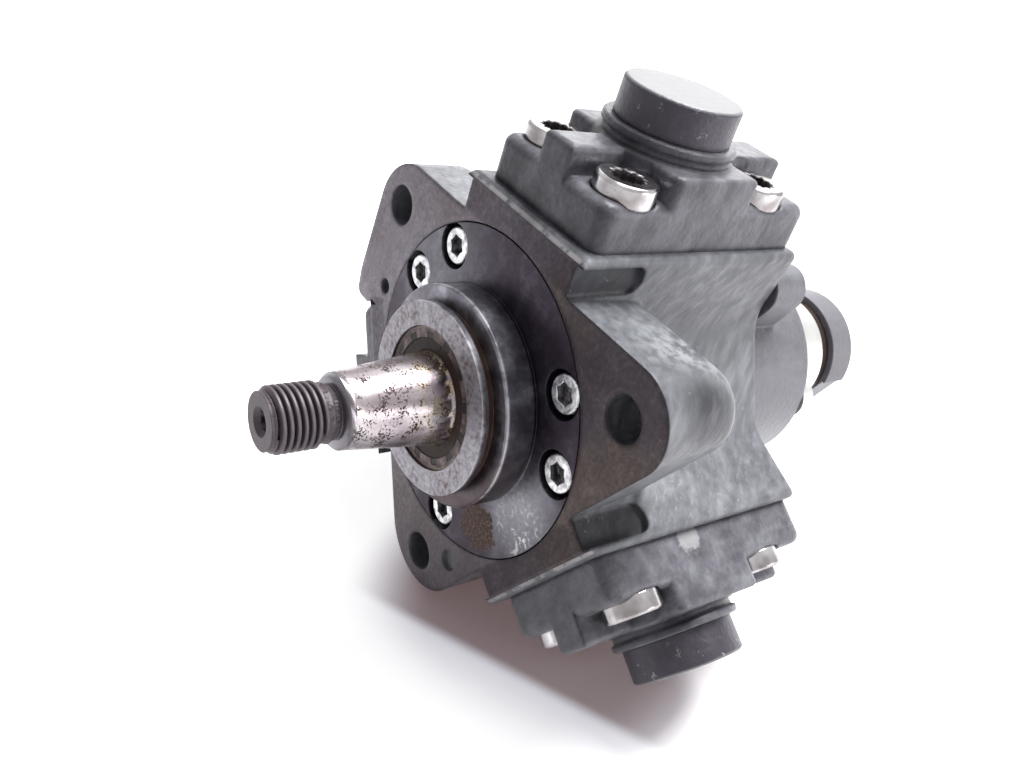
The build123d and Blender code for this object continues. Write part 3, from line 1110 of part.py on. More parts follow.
def valve_body():
    """Steel sleeve, flange, nose and armature tube of the metering valve."""
    bore = PISTON_RADIUS + PLUNGER_CLEARANCE
    tube_inner = ARMATURE_TUBE_RADIUS - ARMATURE_TUBE_WALL
    body = turned([
        (bore, PISTON_BORE_START_Y),
        (bore, VALVE_FLANGE_END_Y),
        (tube_inner, VALVE_FLANGE_END_Y),
        (tube_inner, SLEEVE_END_Y - SLEEVE_END_WALL),
        (ARMATURE_TUBE_RADIUS, SLEEVE_END_Y - SLEEVE_END_WALL),
        (ARMATURE_TUBE_RADIUS, VALVE_FLANGE_END_Y + SLEEVE_FLOOR_THICKNESS),
        (SLEEVE_RADIUS - SLEEVE_WALL, VALVE_FLANGE_END_Y + SLEEVE_FLOOR_THICKNESS),
        (SLEEVE_RADIUS - SLEEVE_WALL, SLEEVE_END_Y - SLEEVE_END_WALL),
        (SLEEVE_RADIUS - SLEEVE_WALL, SLEEVE_END_Y),
        (SLEEVE_RADIUS - 0.4, SLEEVE_END_Y),
        (SLEEVE_RADIUS, SLEEVE_END_Y - 0.4),
        (SLEEVE_RADIUS, REAR_COVER_END_Y),
        (VALVE_NOSE_RADIUS, REAR_COVER_END_Y),
        (VALVE_NOSE_RADIUS, VALVE_NOSE_START_Y + 0.8),
        (VALVE_NOSE_RADIUS - 0.8, VALVE_NOSE_START_Y),
        (bore - 1.5, VALVE_NOSE_START_Y),
        (bore - 1.5, PISTON_BORE_START_Y),
    ])
    flange = ears(VALVE_EAR_ANGLES, VALVE_EAR_PITCH_RADIUS, VALVE_EAR_RADIUS, REAR_COVER_END_Y,
                  VALVE_FLANGE_END_Y)
    body += flange - bar(0, 0, SLEEVE_RADIUS - SLEEVE_WALL, REAR_COVER_END_Y - 1, VALVE_FLANGE_END_Y + 1)
    for angle in VALVE_EAR_ANGLES:
        x, z = on_circle(VALVE_EAR_PITCH_RADIUS, angle)
        body -= bar(x, z, VALVE_SCREW_RADIUS + 0.25, REAR_COVER_END_Y - 1, VALVE_FLANGE_END_Y + 1)
    for angle in WAIST_ANGLES:
        slot = Pos(0, 0, VALVE_NOSE_RADIUS) * Box(
            METERING_SLOT_WIDTH, 2 * METERING_SLOT_WIDTH, VALVE_NOSE_RADIUS)
        body -= outward(angle, PISTON_START_Y + METERING_SLOT_WIDTH, slot)
    return body


def valve_screws():
    screw = socket_screw(VALVE_SCREW_RADIUS, VALVE_FLANGE_THICKNESS + VALVE_SCREW_GRIP - 1,
                         VALVE_SCREW_HEAD_RADIUS, VALVE_SCREW_HEAD_HEIGHT, SCREW_LOBES)
    copies = []
    for angle in VALVE_EAR_ANGLES:
        x, z = on_circle(VALVE_EAR_PITCH_RADIUS, angle)
        copies.append(Pos(x, VALVE_FLANGE_END_Y, z) * Rot(-90, 0, 0) * screw)
    return Compound(children=copies)


def solenoid_coil():
    start = VALVE_FLANGE_END_Y + SLEEVE_FLOOR_THICKNESS + COIL_CLEARANCE
    end = SLEEVE_END_Y - SLEEVE_END_WALL - COIL_CLEARANCE
    ring = bar(0, 0, SLEEVE_RADIUS - SLEEVE_WALL - COIL_CLEARANCE, start, end)
    return ring - bar(0, 0, ARMATURE_TUBE_RADIUS + COIL_CLEARANCE, start - 1, end + 1)


def solenoid_core():
    """Fixed pole that closes the back of the sleeve; the metering spring sits in its pocket."""
    tube_inner = ARMATURE_TUBE_RADIUS - ARMATURE_TUBE_WALL - 0.02
    room = SLEEVE_RADIUS - SLEEVE_WALL - 0.02
    wall_start = SLEEVE_END_Y - SLEEVE_END_WALL
    return turned([
        (CORE_POCKET_RADIUS, CORE_START_Y),
        (tube_inner, CORE_START_Y),
        (tube_inner, wall_start),
        (room, wall_start),
        (room, SLEEVE_END_Y),
        (0, SLEEVE_END_Y),
        (0, CORE_POCKET_END_Y),
        (CORE_POCKET_RADIUS, CORE_POCKET_END_Y),
    ])


def metering_piston():
    return turned([
        (0, PISTON_START_Y),
        (PISTON_RADIUS - 0.3, PISTON_START_Y),
        (PISTON_RADIUS, PISTON_START_Y + 0.3),
        (PISTON_RADIUS, PISTON_END_Y),
        (ARMATURE_RADIUS, PISTON_END_Y),
        (ARMATURE_RADIUS, ARMATURE_END_Y),
        (0, ARMATURE_END_Y),
    ])


def metering_spring():
    spring = coil(METERING_SPRING_MEAN_RADIUS, METERING_SPRING_WIRE_RADIUS, METERING_SPRING_TURNS,
                  ARMATURE_END_Y, CORE_POCKET_END_Y)
    return Rot(-90, 0, 0) * spring


def valve_seal_washer():
    return bar(0, 0, SEAL_WASHER_RADIUS, SLEEVE_END_Y, SEAL_WASHER_END_Y)


def connector():
    """Plastic cap over the coil's leads, with a flat on its right side and the socket on its left."""
    cap = bar(0, 0, CONNECTOR_RADIUS, SEAL_WASHER_END_Y, CONNECTOR_END_Y)
    beyond = Box(CONNECTOR_RADIUS, CONNECTOR_RADIUS * 2, CONNECTOR_RADIUS * 2,
                 align=(Align.MIN, Align.MIN, Align.CENTER))
    beyond = Rot(0, -CONNECTOR_FLAT_ANGLE, 0) * Pos(CONNECTOR_RADIUS - CONNECTOR_FLAT_DEPTH, 0, 0) * beyond
    above = Box(CONNECTOR_RADIUS * 3, CONNECTOR_RADIUS * 2, CONNECTOR_RADIUS,
                align=(Align.CENTER, Align.MIN, Align.MIN))
    cap -= Pos(0, SEAL_WASHER_END_Y - 1, 0) * (beyond - Pos(0, 0, CONNECTOR_FLAT_TOP_Z) * above)
    cap = fillet(cap.edges().group_by(Axis.Y)[-1], CONNECTOR_EDGE_ROUND)
    middle = (SEAL_WASHER_END_Y + CONNECTOR_END_Y) / 2
    shroud = Box(SOCKET_REACH, SOCKET_WIDTH, SOCKET_HEIGHT, align=(Align.MAX, Align.CENTER, Align.CENTER))
    shroud = fillet(shroud.edges().filter_by(Axis.X), SOCKET_WALL)
    cap += Pos(0, middle, 0) * shroud
    cavity = Box(SOCKET_CAVITY_DEPTH, SOCKET_WIDTH - 2 * SOCKET_WALL, SOCKET_HEIGHT - 2 * SOCKET_WALL,
                 align=(Align.MIN, Align.CENTER, Align.CENTER))
    return cap - Pos(-SOCKET_REACH, middle, 0) * cavity


def connector_pins():
    middle = (SEAL_WASHER_END_Y + CONNECTOR_END_Y) / 2
    root = -SOCKET_REACH + SOCKET_CAVITY_DEPTH
    blade = Box(PIN_LENGTH, PIN_THICKNESS, PIN_WIDTH, align=(Align.MAX, Align.CENTER, Align.CENTER))
    blade = chamfer(blade.faces().sort_by(Axis.X)[0].edges().filter_by(Axis.Y), PIN_WIDTH * 0.25)
    return Compound(children=[Pos(root, middle, side * PIN_SPACING / 2) * blade for side in (-1, 1)])


# Pipe unions, made about +Z with the hexagon seated on z = 0
def hose_union(spigot_radius, barbs):
    outline = [
        (0, -UNION_STEM_LENGTH),
        (UNION_STEM_RADIUS, -UNION_STEM_LENGTH),
        (UNION_STEM_RADIUS, 1),
        (spigot_radius, 1),
    ]
    top = UNION_HEX_HEIGHT + SPIGOT_PLAIN_LENGTH
    outline.append((spigot_radius, top))
    valley = spigot_radius - SPIGOT_BARB_DEPTH
    for _ in range(barbs):
        outline += [(valley, top), (valley, top + 0.4), (spigot_radius, top + 0.9)]
        top += SPIGOT_BARB_LENGTH
    outline += [(valley, top), (0, top)]
    union = turned_upright(outline) + union_hexagon()
    return union - Cylinder(spigot_radius * UNION_BORE_RATIO, 3 * top)


def union_hexagon():
    hexagon = RegularPolygon(UNION_HEX_ACROSS_FLATS / 2, 6, major_radius=False)
    return extrude(hexagon, amount=UNION_HEX_HEIGHT)


def inlet_union():
    union = hose_union(INLET_SPIGOT_RADIUS, INLET_BARBS)
    return outward(INLET_ANGLE, INLET_Y, Pos(0, 0, REAR_COVER_RADIUS) * union)


def return_union():
    union = hose_union(RETURN_SPIGOT_RADIUS, RETURN_BARBS)
    return outward(RETURN_ANGLE, RETURN_Y, Pos(0, 0, REAR_COVER_RADIUS) * union)


def outlet_union():
    """Male union for the high-pressure pipe, with the cone that its nut clamps."""
    top = UNION_HEX_HEIGHT + OUTLET_THREAD_LENGTH
    union = turned_upright([
        (OUTLET_BORE_RADIUS, -UNION_STEM_LENGTH),
        (UNION_STEM_RADIUS, -UNION_STEM_LENGTH),
        (UNION_STEM_RADIUS, 1),
        (OUTLET_THREAD_RADIUS, 1),
        (OUTLET_THREAD_RADIUS, top - 0.8),
        (OUTLET_THREAD_RADIUS - 0.8, top),
        (OUTLET_CONE_RADIUS, top),
        (OUTLET_BORE_RADIUS, top - (OUTLET_CONE_RADIUS - OUTLET_BORE_RADIUS) * 1.7),
    ])
    hexagon = union_hexagon() - Cylinder(OUTLET_THREAD_RADIUS - 1, 3 * top)
    return outward(OUTLET_ANGLE, OUTLET_Y, Pos(0, 0, OUTLET_BOSS_TOP) * (union + hexagon))


def head_bolts():
    bolt = head_bolt()
    copies = []
    for name in HEAD_ANGLES:
        for x, y in head_bolt_places():
            copies.append(at_head(name, Pos(x, y, BOLT_SEAT_HEIGHT) * bolt))
    return Compound(children=copies)


def on_each_head(piece):
    return Compound(children=[at_head(name, piece) for name in HEAD_ANGLES])


nodes = {
    "housing": housing(),
    "front_cover": front_cover(),
    "cover_screws": cover_screws(),
    "cover_seal_ring": cover_seal_ring(),
    "shaft_seal_case": shaft_seal_case(),
    "shaft_seal_lip": shaft_seal_lip(),
    "seal_garter_spring": seal_garter_spring(),
    "drive_shaft": drive_shaft(),
    "front_bush": front_bush(),
    "rear_bush": rear_bush(),
    "thrust_washers": thrust_washers(),
    "cam_ring": cam_ring(),
    "cam_ring_bush": cam_ring_bush(),
    "head_bolts": head_bolts(),
    "head_seal_rings": on_each_head(head_seal_ring()),
    "discharge_plugs": on_each_head(discharge_plug()),
    "rear_cover": rear_cover(),
    "rear_cover_screws": rear_cover_screws(),
    "rear_seal_ring": rear_seal_ring(),
    "metering_valve_body": valve_body(),
    "metering_valve_screws": valve_screws(),
    "solenoid_coil": solenoid_coil(),
    "solenoid_core": solenoid_core(),
    "metering_piston": metering_piston(),
    "metering_spring": metering_spring(),
    "valve_seal_washer": valve_seal_washer(),
    "connector": connector(),
    "connector_pins": connector_pins(),
    "inlet_union": inlet_union(),
    "return_union": return_union(),
    "outlet_union": outlet_union(),
}

head_pieces = {
    "head": cylinder_head(),
    "plunger": plunger(),
    "plunger_foot": plunger_foot(),
    "plunger_spring": plunger_spring(),
    "valve_plug": valve_plug(),
    "suction_valve": Compound(children=list(suction_valve())),
    "suction_spring": suction_valve_spring(),
    "discharge_ball": discharge_ball(),
    "discharge_spring": discharge_spring(),
}
for head_name in HEAD_ANGLES:
    for piece_name, piece in head_pieces.items():
        nodes[f"{piece_name}_{head_name}"] = at_head(head_name, piece)

os.makedirs("parts", exist_ok=True)
for node_name, solid in nodes.items():
    export_step(solid, f"parts/{node_name}.step")
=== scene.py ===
import json
from math import cos, radians, sin

import bpy
from mathutils import Matrix, Vector


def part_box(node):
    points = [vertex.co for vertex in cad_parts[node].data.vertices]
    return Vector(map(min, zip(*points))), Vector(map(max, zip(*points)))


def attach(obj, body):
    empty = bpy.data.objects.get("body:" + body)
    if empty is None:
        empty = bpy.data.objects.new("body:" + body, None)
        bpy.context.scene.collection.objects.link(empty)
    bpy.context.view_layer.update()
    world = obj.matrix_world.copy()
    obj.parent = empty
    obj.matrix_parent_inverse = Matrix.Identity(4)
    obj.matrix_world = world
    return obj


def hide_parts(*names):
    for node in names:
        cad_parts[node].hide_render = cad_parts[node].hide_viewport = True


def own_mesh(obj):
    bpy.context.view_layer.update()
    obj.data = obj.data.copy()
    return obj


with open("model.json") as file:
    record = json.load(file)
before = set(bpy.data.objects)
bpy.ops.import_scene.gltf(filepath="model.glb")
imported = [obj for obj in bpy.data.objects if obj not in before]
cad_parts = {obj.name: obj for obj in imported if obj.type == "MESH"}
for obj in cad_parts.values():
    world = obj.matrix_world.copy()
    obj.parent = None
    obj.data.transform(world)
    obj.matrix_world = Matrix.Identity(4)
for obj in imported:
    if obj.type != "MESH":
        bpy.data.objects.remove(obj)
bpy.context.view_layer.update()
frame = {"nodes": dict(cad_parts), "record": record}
bpy.ops.object.select_all(action="DESELECT")
nodes = frame["nodes"]

# Housing
# One iron casting, sprayed black all over and then faced at the flange, where the bare iron has
# dulled to a brownish grey. The paint lies over a coarse sand-cast skin, so it is never smooth.
# Painted light: shade in the pockets beside the seats and down the right lug, a highlight on the lug's top,
# and a reflection towards the left of the flange.


class Wire:
    """One socket in a material's node tree; sums and products of wires add Math nodes."""

    def __init__(self, tree, socket=None):
        self.tree = tree
        self.socket = socket

    def node(self, kind, output=0, settings=None, stops=None, **sockets):
        """Adds any other node: its settings first, then the values or wires of its sockets."""
        made = self.tree.nodes.new("ShaderNode" + kind)
        for name, value in (settings or {}).items():
            setattr(made, name, value)
        if stops:
            points = made.color_ramp.elements
            while len(points) < len(stops):
                points.new(0.5)
            for point, (place, colour) in zip(points, stops):
                point.position = place
                point.color = (*colour, 1)
        for name, value in sockets.items():
            key = int(name[1:]) if name[1:].isdigit() else name.replace("_", " ")
            if isinstance(value, Wire):
                self.tree.links.new(value.socket, made.inputs[key])
            else:
                made.inputs[key].default_value = value
        return Wire(self.tree, made.outputs[output])

    def math(self, operation, first, second=0.0):
        return self.node("Math", settings={"operation": operation}, s0=first, s1=second)

    def __add__(self, other):
        return self.math("ADD", self, other)

    def __radd__(self, other):
        return self.math("ADD", other, self)

    def __sub__(self, other):
        return self.math("SUBTRACT", self, other)

    def __rsub__(self, other):
        return self.math("SUBTRACT", other, self)

    def __mul__(self, other):
        return self.math("MULTIPLY", self, other)

    def __rmul__(self, other):
        return self.math("MULTIPLY", other, self)

    def __pow__(self, other):
        return self.math("POWER", self, other)

    def __abs__(self):
        return self.math("ABSOLUTE", self)

    def sine(self):
        return self.math("SINE", self)

    def capped(self):
        """This value, or 1 where it is more."""
        return self.math("MINIMUM", self, 1.0)

    def step(self, low, high):
        """0 below low, 1 above high and smooth between; low may be the larger."""
        return self.node("MapRange", settings={"interpolation_type": "SMOOTHSTEP"},
                         Value=self, From_Min=low, From_Max=high)

    def above(self, place, soft):
        """1 above a place and 0 below it, smooth as far as soft to each side."""
        return self.step(place - soft, place + soft)

    def below(self, place, soft):
        """1 below a place and 0 above it, smooth as far as soft to each side."""
        return self.step(place + soft, place - soft)

    def mix(self, under, over):
        """Colour under where this mask is 0 and colour over where it is 1."""
        under = under if isinstance(under, Wire) else (*under, 1)
        over = over if isinstance(over, Wire) else (*over, 1)
        return self.node("Mix", output=2, settings={"data_type": "RGBA"}, s0=self, s6=under, s7=over)

    def ramp(self, *stops):
        """Colour by this value, from stops that each give a value and its colour."""
        return self.node("ValToRGB", Fac=self, stops=stops)

    def noise(self, scale, detail=3.0, roughness=0.55):
        """Noise over this point; scale is in waves per metre."""
        return self.node("TexNoise", Vector=self, Scale=scale, Detail=detail, Roughness=roughness)


class Finish:
    """A material with its shader, and the place of each point along and about the shaft."""

    def __init__(self, name):
        self.material = bpy.data.materials.new(name)
        self.material.use_nodes = True
        self.tree = self.material.node_tree
        self.shader = self.tree.nodes["Principled BSDF"]
        self.point = Wire(self.tree).node("TexCoord", output="Object")
        self.x = self.point.node("SeparateXYZ", output="X", Vector=self.point)
        self.y = self.point.node("SeparateXYZ", output="Y", Vector=self.point)
        self.z = self.point.node("SeparateXYZ", output="Z", Vector=self.point)

    def from_shaft(self):
        """Distance from the shaft's axis."""
        return (self.x * self.x + self.z * self.z) ** 0.5

    def along(self, angle):
        """Distance from the shaft along a direction, as a head's height."""
        return self.x * cos(radians(angle)) + self.z * sin(radians(angle))

    def near(self, place, radius, soft):
        """1 within a ball about a place and 0 outside it."""
        away = self.point.node("VectorMath", output="Value", settings={"operation": "DISTANCE"},
                               s0=self.point, s1=place)
        return away.below(radius, soft)

    def drawn(self, lean, share):
        """The point with a share of its way along one direction taken out, so that noise runs along it."""
        lean = Vector(lean).normalized()
        back = (self.x * lean.x + self.y * lean.y + self.z * lean.z) * share
        return self.point.node("CombineXYZ", s0=self.x - back * lean.x, s1=self.y - back * lean.y,
                               s2=self.z - back * lean.z)

    def give(self, colour, rough, metal=0.0, height=None, depth=0.0, soft=0.0, gloss=0.5):
        """Joins the finished colour, roughness, metal, surface height and worn edges to the shader."""
        for name, value in (("Base Color", colour), ("Roughness", rough), ("Metallic", metal)):
            if isinstance(value, Wire):
                self.tree.links.new(value.socket, self.shader.inputs[name])
            else:
                self.shader.inputs[name].default_value = value
        self.shader.inputs["Specular IOR Level"].default_value = gloss
        worn = self.point.node("Bevel", settings={"samples": 6}, Radius=soft)
        bump = height.node("Bump", Height=height, Distance=depth, Strength=1.0, Normal=worn)
        self.tree.links.new(bump.socket, self.shader.inputs["Normal"])

    def coat(self, piece):
        """Makes this the only material of a piece."""
        piece.data.materials.clear()
        piece.data.materials.append(self.material)

    def put_on(self, *names):
        for name in names:
            self.coat(nodes[name])


SEAT_ANGLES = {"top": 90.0, "right": -30.0, "left": 210.0}
SEAT_HALF_WIDTH = 0.0212
RIM_HEIGHT = 0.0438
RIM_DEPTH = 0.0010
POCKET_HALF_WIDTH = SEAT_HALF_WIDTH - 0.00035
POCKET_LOW = 0.0366
POCKET_HIGH = 0.0432
POCKET_DEPTH = 0.0173
FACED_DEPTH = 0.000185
LUG_HIGHLIGHT_PLACE = (0.0400, 0.0160, 0.0350)
LUG_SHADE_PLACE = (0.0500, 0.0120, 0.0322)
CAST_GRAIN = (-0.42, 0.50, 0.76)
cast = Finish("housing_black_cast")
lumps = cast.point.noise(150, 2)
grit = cast.point.noise(620, 4, 0.62)
wrinkles = cast.drawn(CAST_GRAIN, 0.72).noise(430, 3, 0.55)
clouds = cast.point.noise(60, 3, 0.6)
faced = cast.y.below(FACED_DEPTH, 0.000065)
rim = sum(cast.along(angle).above(RIM_HEIGHT, 0.0002) for angle in SEAT_ANGLES.values())
rim = rim * cast.y.below(RIM_DEPTH, 0.0002)
# Where the pockets beside the seats lie, for the painted shade in them and their rougher paint.
pocket_shade = 0
for angle in SEAT_ANGLES.values():
    upward = cast.along(angle)
    recess = upward.above(POCKET_LOW, 0.0006) * upward.below(POCKET_HIGH, 0.0004)
    pocket_shade = pocket_shade + abs(cast.along(angle - 90)).below(POCKET_HALF_WIDTH, 0.00025) * recess
pocket_shade = pocket_shade * cast.y.below(POCKET_DEPTH, 0.0005)
paint = (clouds * 0.45 + wrinkles * 0.55).ramp(
    (0.36, (0.105, 0.108, 0.122)), (0.50, (0.168, 0.173, 0.190)), (0.64, (0.262, 0.270, 0.290)))
# Painted highlight: pale streaks on top of the right lug, where the light catches it.
painted_lug_highlight = cast.near(LUG_HIGHLIGHT_PLACE, 0.0060, 0.0080) * wrinkles.step(0.40, 0.58)
paint = (painted_lug_highlight * 0.75).mix(paint, (0.42, 0.43, 0.455))
# Painted shade: the pockets are painted nearly black.
paint = (pocket_shade * 0.72).mix(paint, (0.012, 0.012, 0.015))
# Painted shade: a nearly black band down the side of the right lug.
painted_lug_shade = cast.near(LUG_SHADE_PLACE, 0.0062, 0.0060) * (wrinkles * 0.6 + clouds * 0.4).step(0.30, 0.52)
paint = (painted_lug_shade * 0.9).mix(paint, (0.014, 0.014, 0.018))
flecks = grit.step(0.62, 0.72) * lumps.step(0.45, 0.60)
paint = (flecks * 0.7).mix(paint, (0.30, 0.30, 0.31))
stain = cast.drawn((0.1, 0.0, 1.0), 0.2).noise(900, 6, 0.72) * 0.62 + cast.point.noise(150, 3, 0.6) * 0.38
dark_iron = stain.ramp(
    (0.34, (0.032, 0.023, 0.030)), (0.50, (0.058, 0.046, 0.056)), (0.68, (0.120, 0.106, 0.120)))
painted_bright_iron = stain.ramp(
    (0.34, (0.110, 0.092, 0.110)), (0.50, (0.200, 0.178, 0.205)), (0.68, (0.330, 0.310, 0.345)))
brown_iron = stain.ramp(
    (0.34, (0.034, 0.020, 0.016)), (0.50, (0.074, 0.050, 0.042)), (0.68, (0.140, 0.104, 0.088)))
# Painted reflection: the faced iron is painted paler towards the left.
pale = cast.x.below(-0.003, 0.033)
brown = cast.point.noise(38, 3).step(0.44, 0.62)
iron = (brown * (0.75 - pale * 0.45)).mix(pale.mix(dark_iron, painted_bright_iron), brown_iron)
scratched = cast.point.noise(1400, 2).step(0.66, 0.74)
iron = (scratched * 0.35).mix(iron, (0.26, 0.24, 0.25))
rim = rim * cast.point.noise(240, 4, 0.7).step(0.42, 0.50)
filed = (rim * 0.8).mix(paint, lumps.mix((0.24, 0.23, 0.24), (0.60, 0.58, 0.59)))
skin = lumps * 0.46 + wrinkles * 0.38 + grit * 0.16
face_skin = cast.point.noise(1500, 3) * 0.05
cast.give(
    colour=faced.mix(filed, iron),
    rough=0.29 + grit * 0.14 + faced * 0.08 + (pocket_shade + painted_lug_shade) * 0.25,
    metal=faced * 0.35 + rim * 0.3,
    height=skin * (1 - faced) + face_skin * faced,
    depth=0.0007,
    soft=0.0017,
    gloss=0.33,
)
cast.put_on("housing")

# Front cover
# A steel turning sunk in the flange: disc, pilot and nose in one, with the groove of its seal ring
# gone brown. Handling has rusted the disc in one place, and scuffed it bright beside the screws.
# Painted light: reflections on the disc, highlights along the pilot's and nose's edges, and shade low on the
# pilot's wall.
PILOT_RADIUS = 0.0250
PILOT_FACE_Y = -0.0077
NOSE_RADIUS = 0.02165
NOSE_FACE_Y = -0.0113
DISC_FACE_Y = -0.00065
GROOVE_RADIUS = 0.0210
GROOVE_FRONT_Y = -0.009775
GROOVE_BACK_Y = -0.007725
TOOL_MARKS = 15000.0
REFLECTED_RIGHT = (0.0265, 0, -0.0110)
REFLECTED_LOW = (0.0245, 0, -0.0235)
REFLECTED_LEFT = (-0.024, 0, 0.022)
RUSTED_PLACE = (0.0165, 0, -0.0262)
SCUFFED_PLACE = (0.0300, 0, -0.0165)
cover = Finish("cover_turned_steel")
radius = cover.from_shaft()
tooling = (radius * TOOL_MARKS).sine()
mottle = cover.point.noise(170, 4, 0.65)
fine = cover.point.noise(900, 4, 0.6)
speckle = fine * 0.6 + mottle * 0.4
# Painted reflection: the disc is painted a paler steel to the lower right, below and to the upper left, and
# darker elsewhere.
disc_reflection = cover.near(REFLECTED_RIGHT, 0.009, 0.009) + cover.near(REFLECTED_LOW, 0.005, 0.006) * 0.15
disc_reflection = disc_reflection + cover.near(REFLECTED_LEFT, 0.014, 0.012) * 0.42
unreflecting_steel = mottle.ramp(
    (0.32, (0.020, 0.014, 0.021)), (0.52, (0.034, 0.026, 0.038)), (0.72, (0.072, 0.066, 0.086)))
painted_reflected_steel = speckle.ramp(
    (0.34, (0.190, 0.192, 0.212)), (0.50, (0.270, 0.274, 0.300)), (0.66, (0.38, 0.384, 0.41)))
steel = (disc_reflection.capped() * 0.72).mix(unreflecting_steel, painted_reflected_steel)
wall = radius.below(PILOT_RADIUS + 0.0001, 0.0001) * cover.y.below(DISC_FACE_Y, 0.00015)
turned_wall = mottle.ramp(
    (0.36, (0.100, 0.095, 0.112)), (0.50, (0.165, 0.160, 0.185)), (0.64, (0.290, 0.290, 0.325)))
# Painted shade: the pilot's wall is darker and browner towards the bottom.
painted_shade_low_wall = mottle.mix((0.026, 0.014, 0.015), (0.075, 0.050, 0.052))
turned_wall = (cover.z.below(0.004, 0.010) * 0.85).mix(turned_wall, painted_shade_low_wall)
steel = wall.mix(steel, turned_wall)
nose_end = cover.y.below(NOSE_FACE_Y + 0.00035, 0.00015)
nose = speckle.ramp(
    (0.35, (0.085, 0.062, 0.060)), (0.46, (0.200, 0.186, 0.204)), (0.62, (0.310, 0.305, 0.335)))
steel = nose_end.mix(steel, nose)
# Bright lines along the edges of the pilot and the nose: edge wear and painted highlight.
pilot_edge_wear_and_highlight = radius.above(PILOT_RADIUS - 0.00025, 0.0001) * radius.below(PILOT_RADIUS + 0.0002, 0.0001)
pilot_edge_wear_and_highlight = pilot_edge_wear_and_highlight * cover.y.below(PILOT_FACE_Y + 0.0009, 0.0002)
nose_edge_wear_and_highlight = radius.above(NOSE_RADIUS - 0.00025, 0.0001) * cover.y.below(NOSE_FACE_Y + 0.00065, 0.00015)
steel = ((pilot_edge_wear_and_highlight * 0.5 + nose_edge_wear_and_highlight * 0.4) * mottle.step(0.38, 0.55)).mix(steel, (0.52, 0.51, 0.53))
groove = cover.y.above(GROOVE_FRONT_Y, 0.000125) * cover.y.below(GROOVE_BACK_Y, 0.000125)
groove = groove * radius.below(GROOVE_RADIUS, 0.0003)
steel = groove.mix(steel, mottle.mix((0.045, 0.020, 0.014), (0.13, 0.065, 0.040)))
patch = cover.near(RUSTED_PLACE, 0.0064, 0.0062)
rust_patch = (patch * 0.9 + fine * 0.9 + mottle).step(1.34, 1.52) * (1 - wall)
rust_specks = fine.step(0.67, 0.73) * mottle.step(0.52, 0.62)
rust = rust_patch + rust_specks * 0.4
rusted = rust.step(0.2, 0.8)
rust_colour = cover.point.noise(1500, 3).ramp(
    (0.40, (0.017, 0.007, 0.006)), (0.53, (0.058, 0.023, 0.014)), (0.66, (0.28, 0.16, 0.10)))
steel = rusted.mix(steel, rust_colour)
scuffs = cover.near(SCUFFED_PLACE, 0.0050, 0.006) * speckle.step(0.52, 0.58) * (1 - wall)
steel = (scuffs * 0.75).mix(steel, (0.58, 0.57, 0.57))
cover.give(
    colour=steel,
    rough=0.30 + mottle * 0.16 + rusted * 0.3 + nose_end * 0.08,
    metal=0.92 - rusted * 0.8 - groove * 0.6,
    height=tooling * 0.02 + fine * 0.10 + rust * 0.2,
    depth=0.0002,
    soft=0.0003,
)
cover.put_on("front_cover")

# Screws and unions
# Zinc-plated steel: the socket screws, the discharge plugs and the pipe unions. The edges of the front
# cover's screws are bright from the driver, and painted shade darkens their recesses.
RECESS_DEPTH = 0.0009
zinc = Finish("zinc_plate")
zinc_tone = zinc.point.noise(420, 3)
zinc_colour = zinc_tone.ramp(
    (0.30, (0.40, 0.40, 0.41)), (0.50, (0.55, 0.55, 0.57)), (0.70, (0.68, 0.68, 0.70)))
zinc.give(colour=zinc_colour, rough=0.30 + zinc_tone * 0.15, metal=1.0,
          height=zinc.point.noise(1800, 3), depth=0.00008, soft=0.0002)
zinc.put_on("rear_cover_screws", "metering_valve_screws", "discharge_plugs", "inlet_union", "return_union",
            "outlet_union")
socketed = Finish("screw_zinc_plate")
socket_tone = socketed.point.noise(700, 4, 0.6)
head_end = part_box("cover_screws")[0][1]
recess = socketed.y.above(head_end + RECESS_DEPTH, 0.0003)
rubbed = socket_tone.ramp(
    (0.34, (0.28, 0.28, 0.29)), (0.50, (0.58, 0.58, 0.60)), (0.64, (0.86, 0.86, 0.88)))
# Painted shade: the screws' recesses are painted nearly black, mottled with grey.
painted_recess_shade = socket_tone.step(0.35, 0.65).mix((0.035, 0.032, 0.034), (0.34, 0.33, 0.34))
socketed.give(colour=recess.mix(rubbed, painted_recess_shade), rough=0.26 + recess * 0.2 + socket_tone * 0.1,
              metal=1.0 - recess * 0.3, height=socket_tone, depth=0.00012, soft=0.0004)
socketed.put_on("cover_screws")

# Head bolts
# Twelve-pointed socket bolts, four to a head, chromed, so that they mirror the pale room and the
# black heads. Painted shade darkens their sockets.
HEAD_MIDDLE = 0.0325
BOLT_ACROSS = 0.0118
BOLT_LENGTHWISE = 0.0197
SOCKET_RADIUS = 0.0051
SOCKET_TOP = 0.05765
SOCKET_FLOOR = 0.05325
chrome = Finish("bolt_chrome")
chrome_tone = chrome.point.noise(170, 2, 0.5)
chrome_specks = chrome.point.noise(1300, 3, 0.6).step(0.62, 0.68)
chrome_colour = chrome_tone.ramp(
    (0.36, (0.26, 0.24, 0.24)), (0.50, (0.40, 0.38, 0.39)), (0.64, (0.55, 0.54, 0.55)))
chrome_colour = (chrome_specks * 0.3).mix(chrome_colour, (0.07, 0.05, 0.045))
socket = 0
for angle in SEAT_ANGLES.values():
    across = abs(chrome.along(angle - 90)) - BOLT_ACROSS
    lengthwise = abs(chrome.y - HEAD_MIDDLE) - BOLT_LENGTHWISE
    inside = ((across * across + lengthwise * lengthwise) ** 0.5).below(SOCKET_RADIUS, 0.0001)
    upward = chrome.along(angle)
    socket = socket + inside * upward.below(SOCKET_TOP, 0.00025) * upward.above(SOCKET_FLOOR, 0.00025)
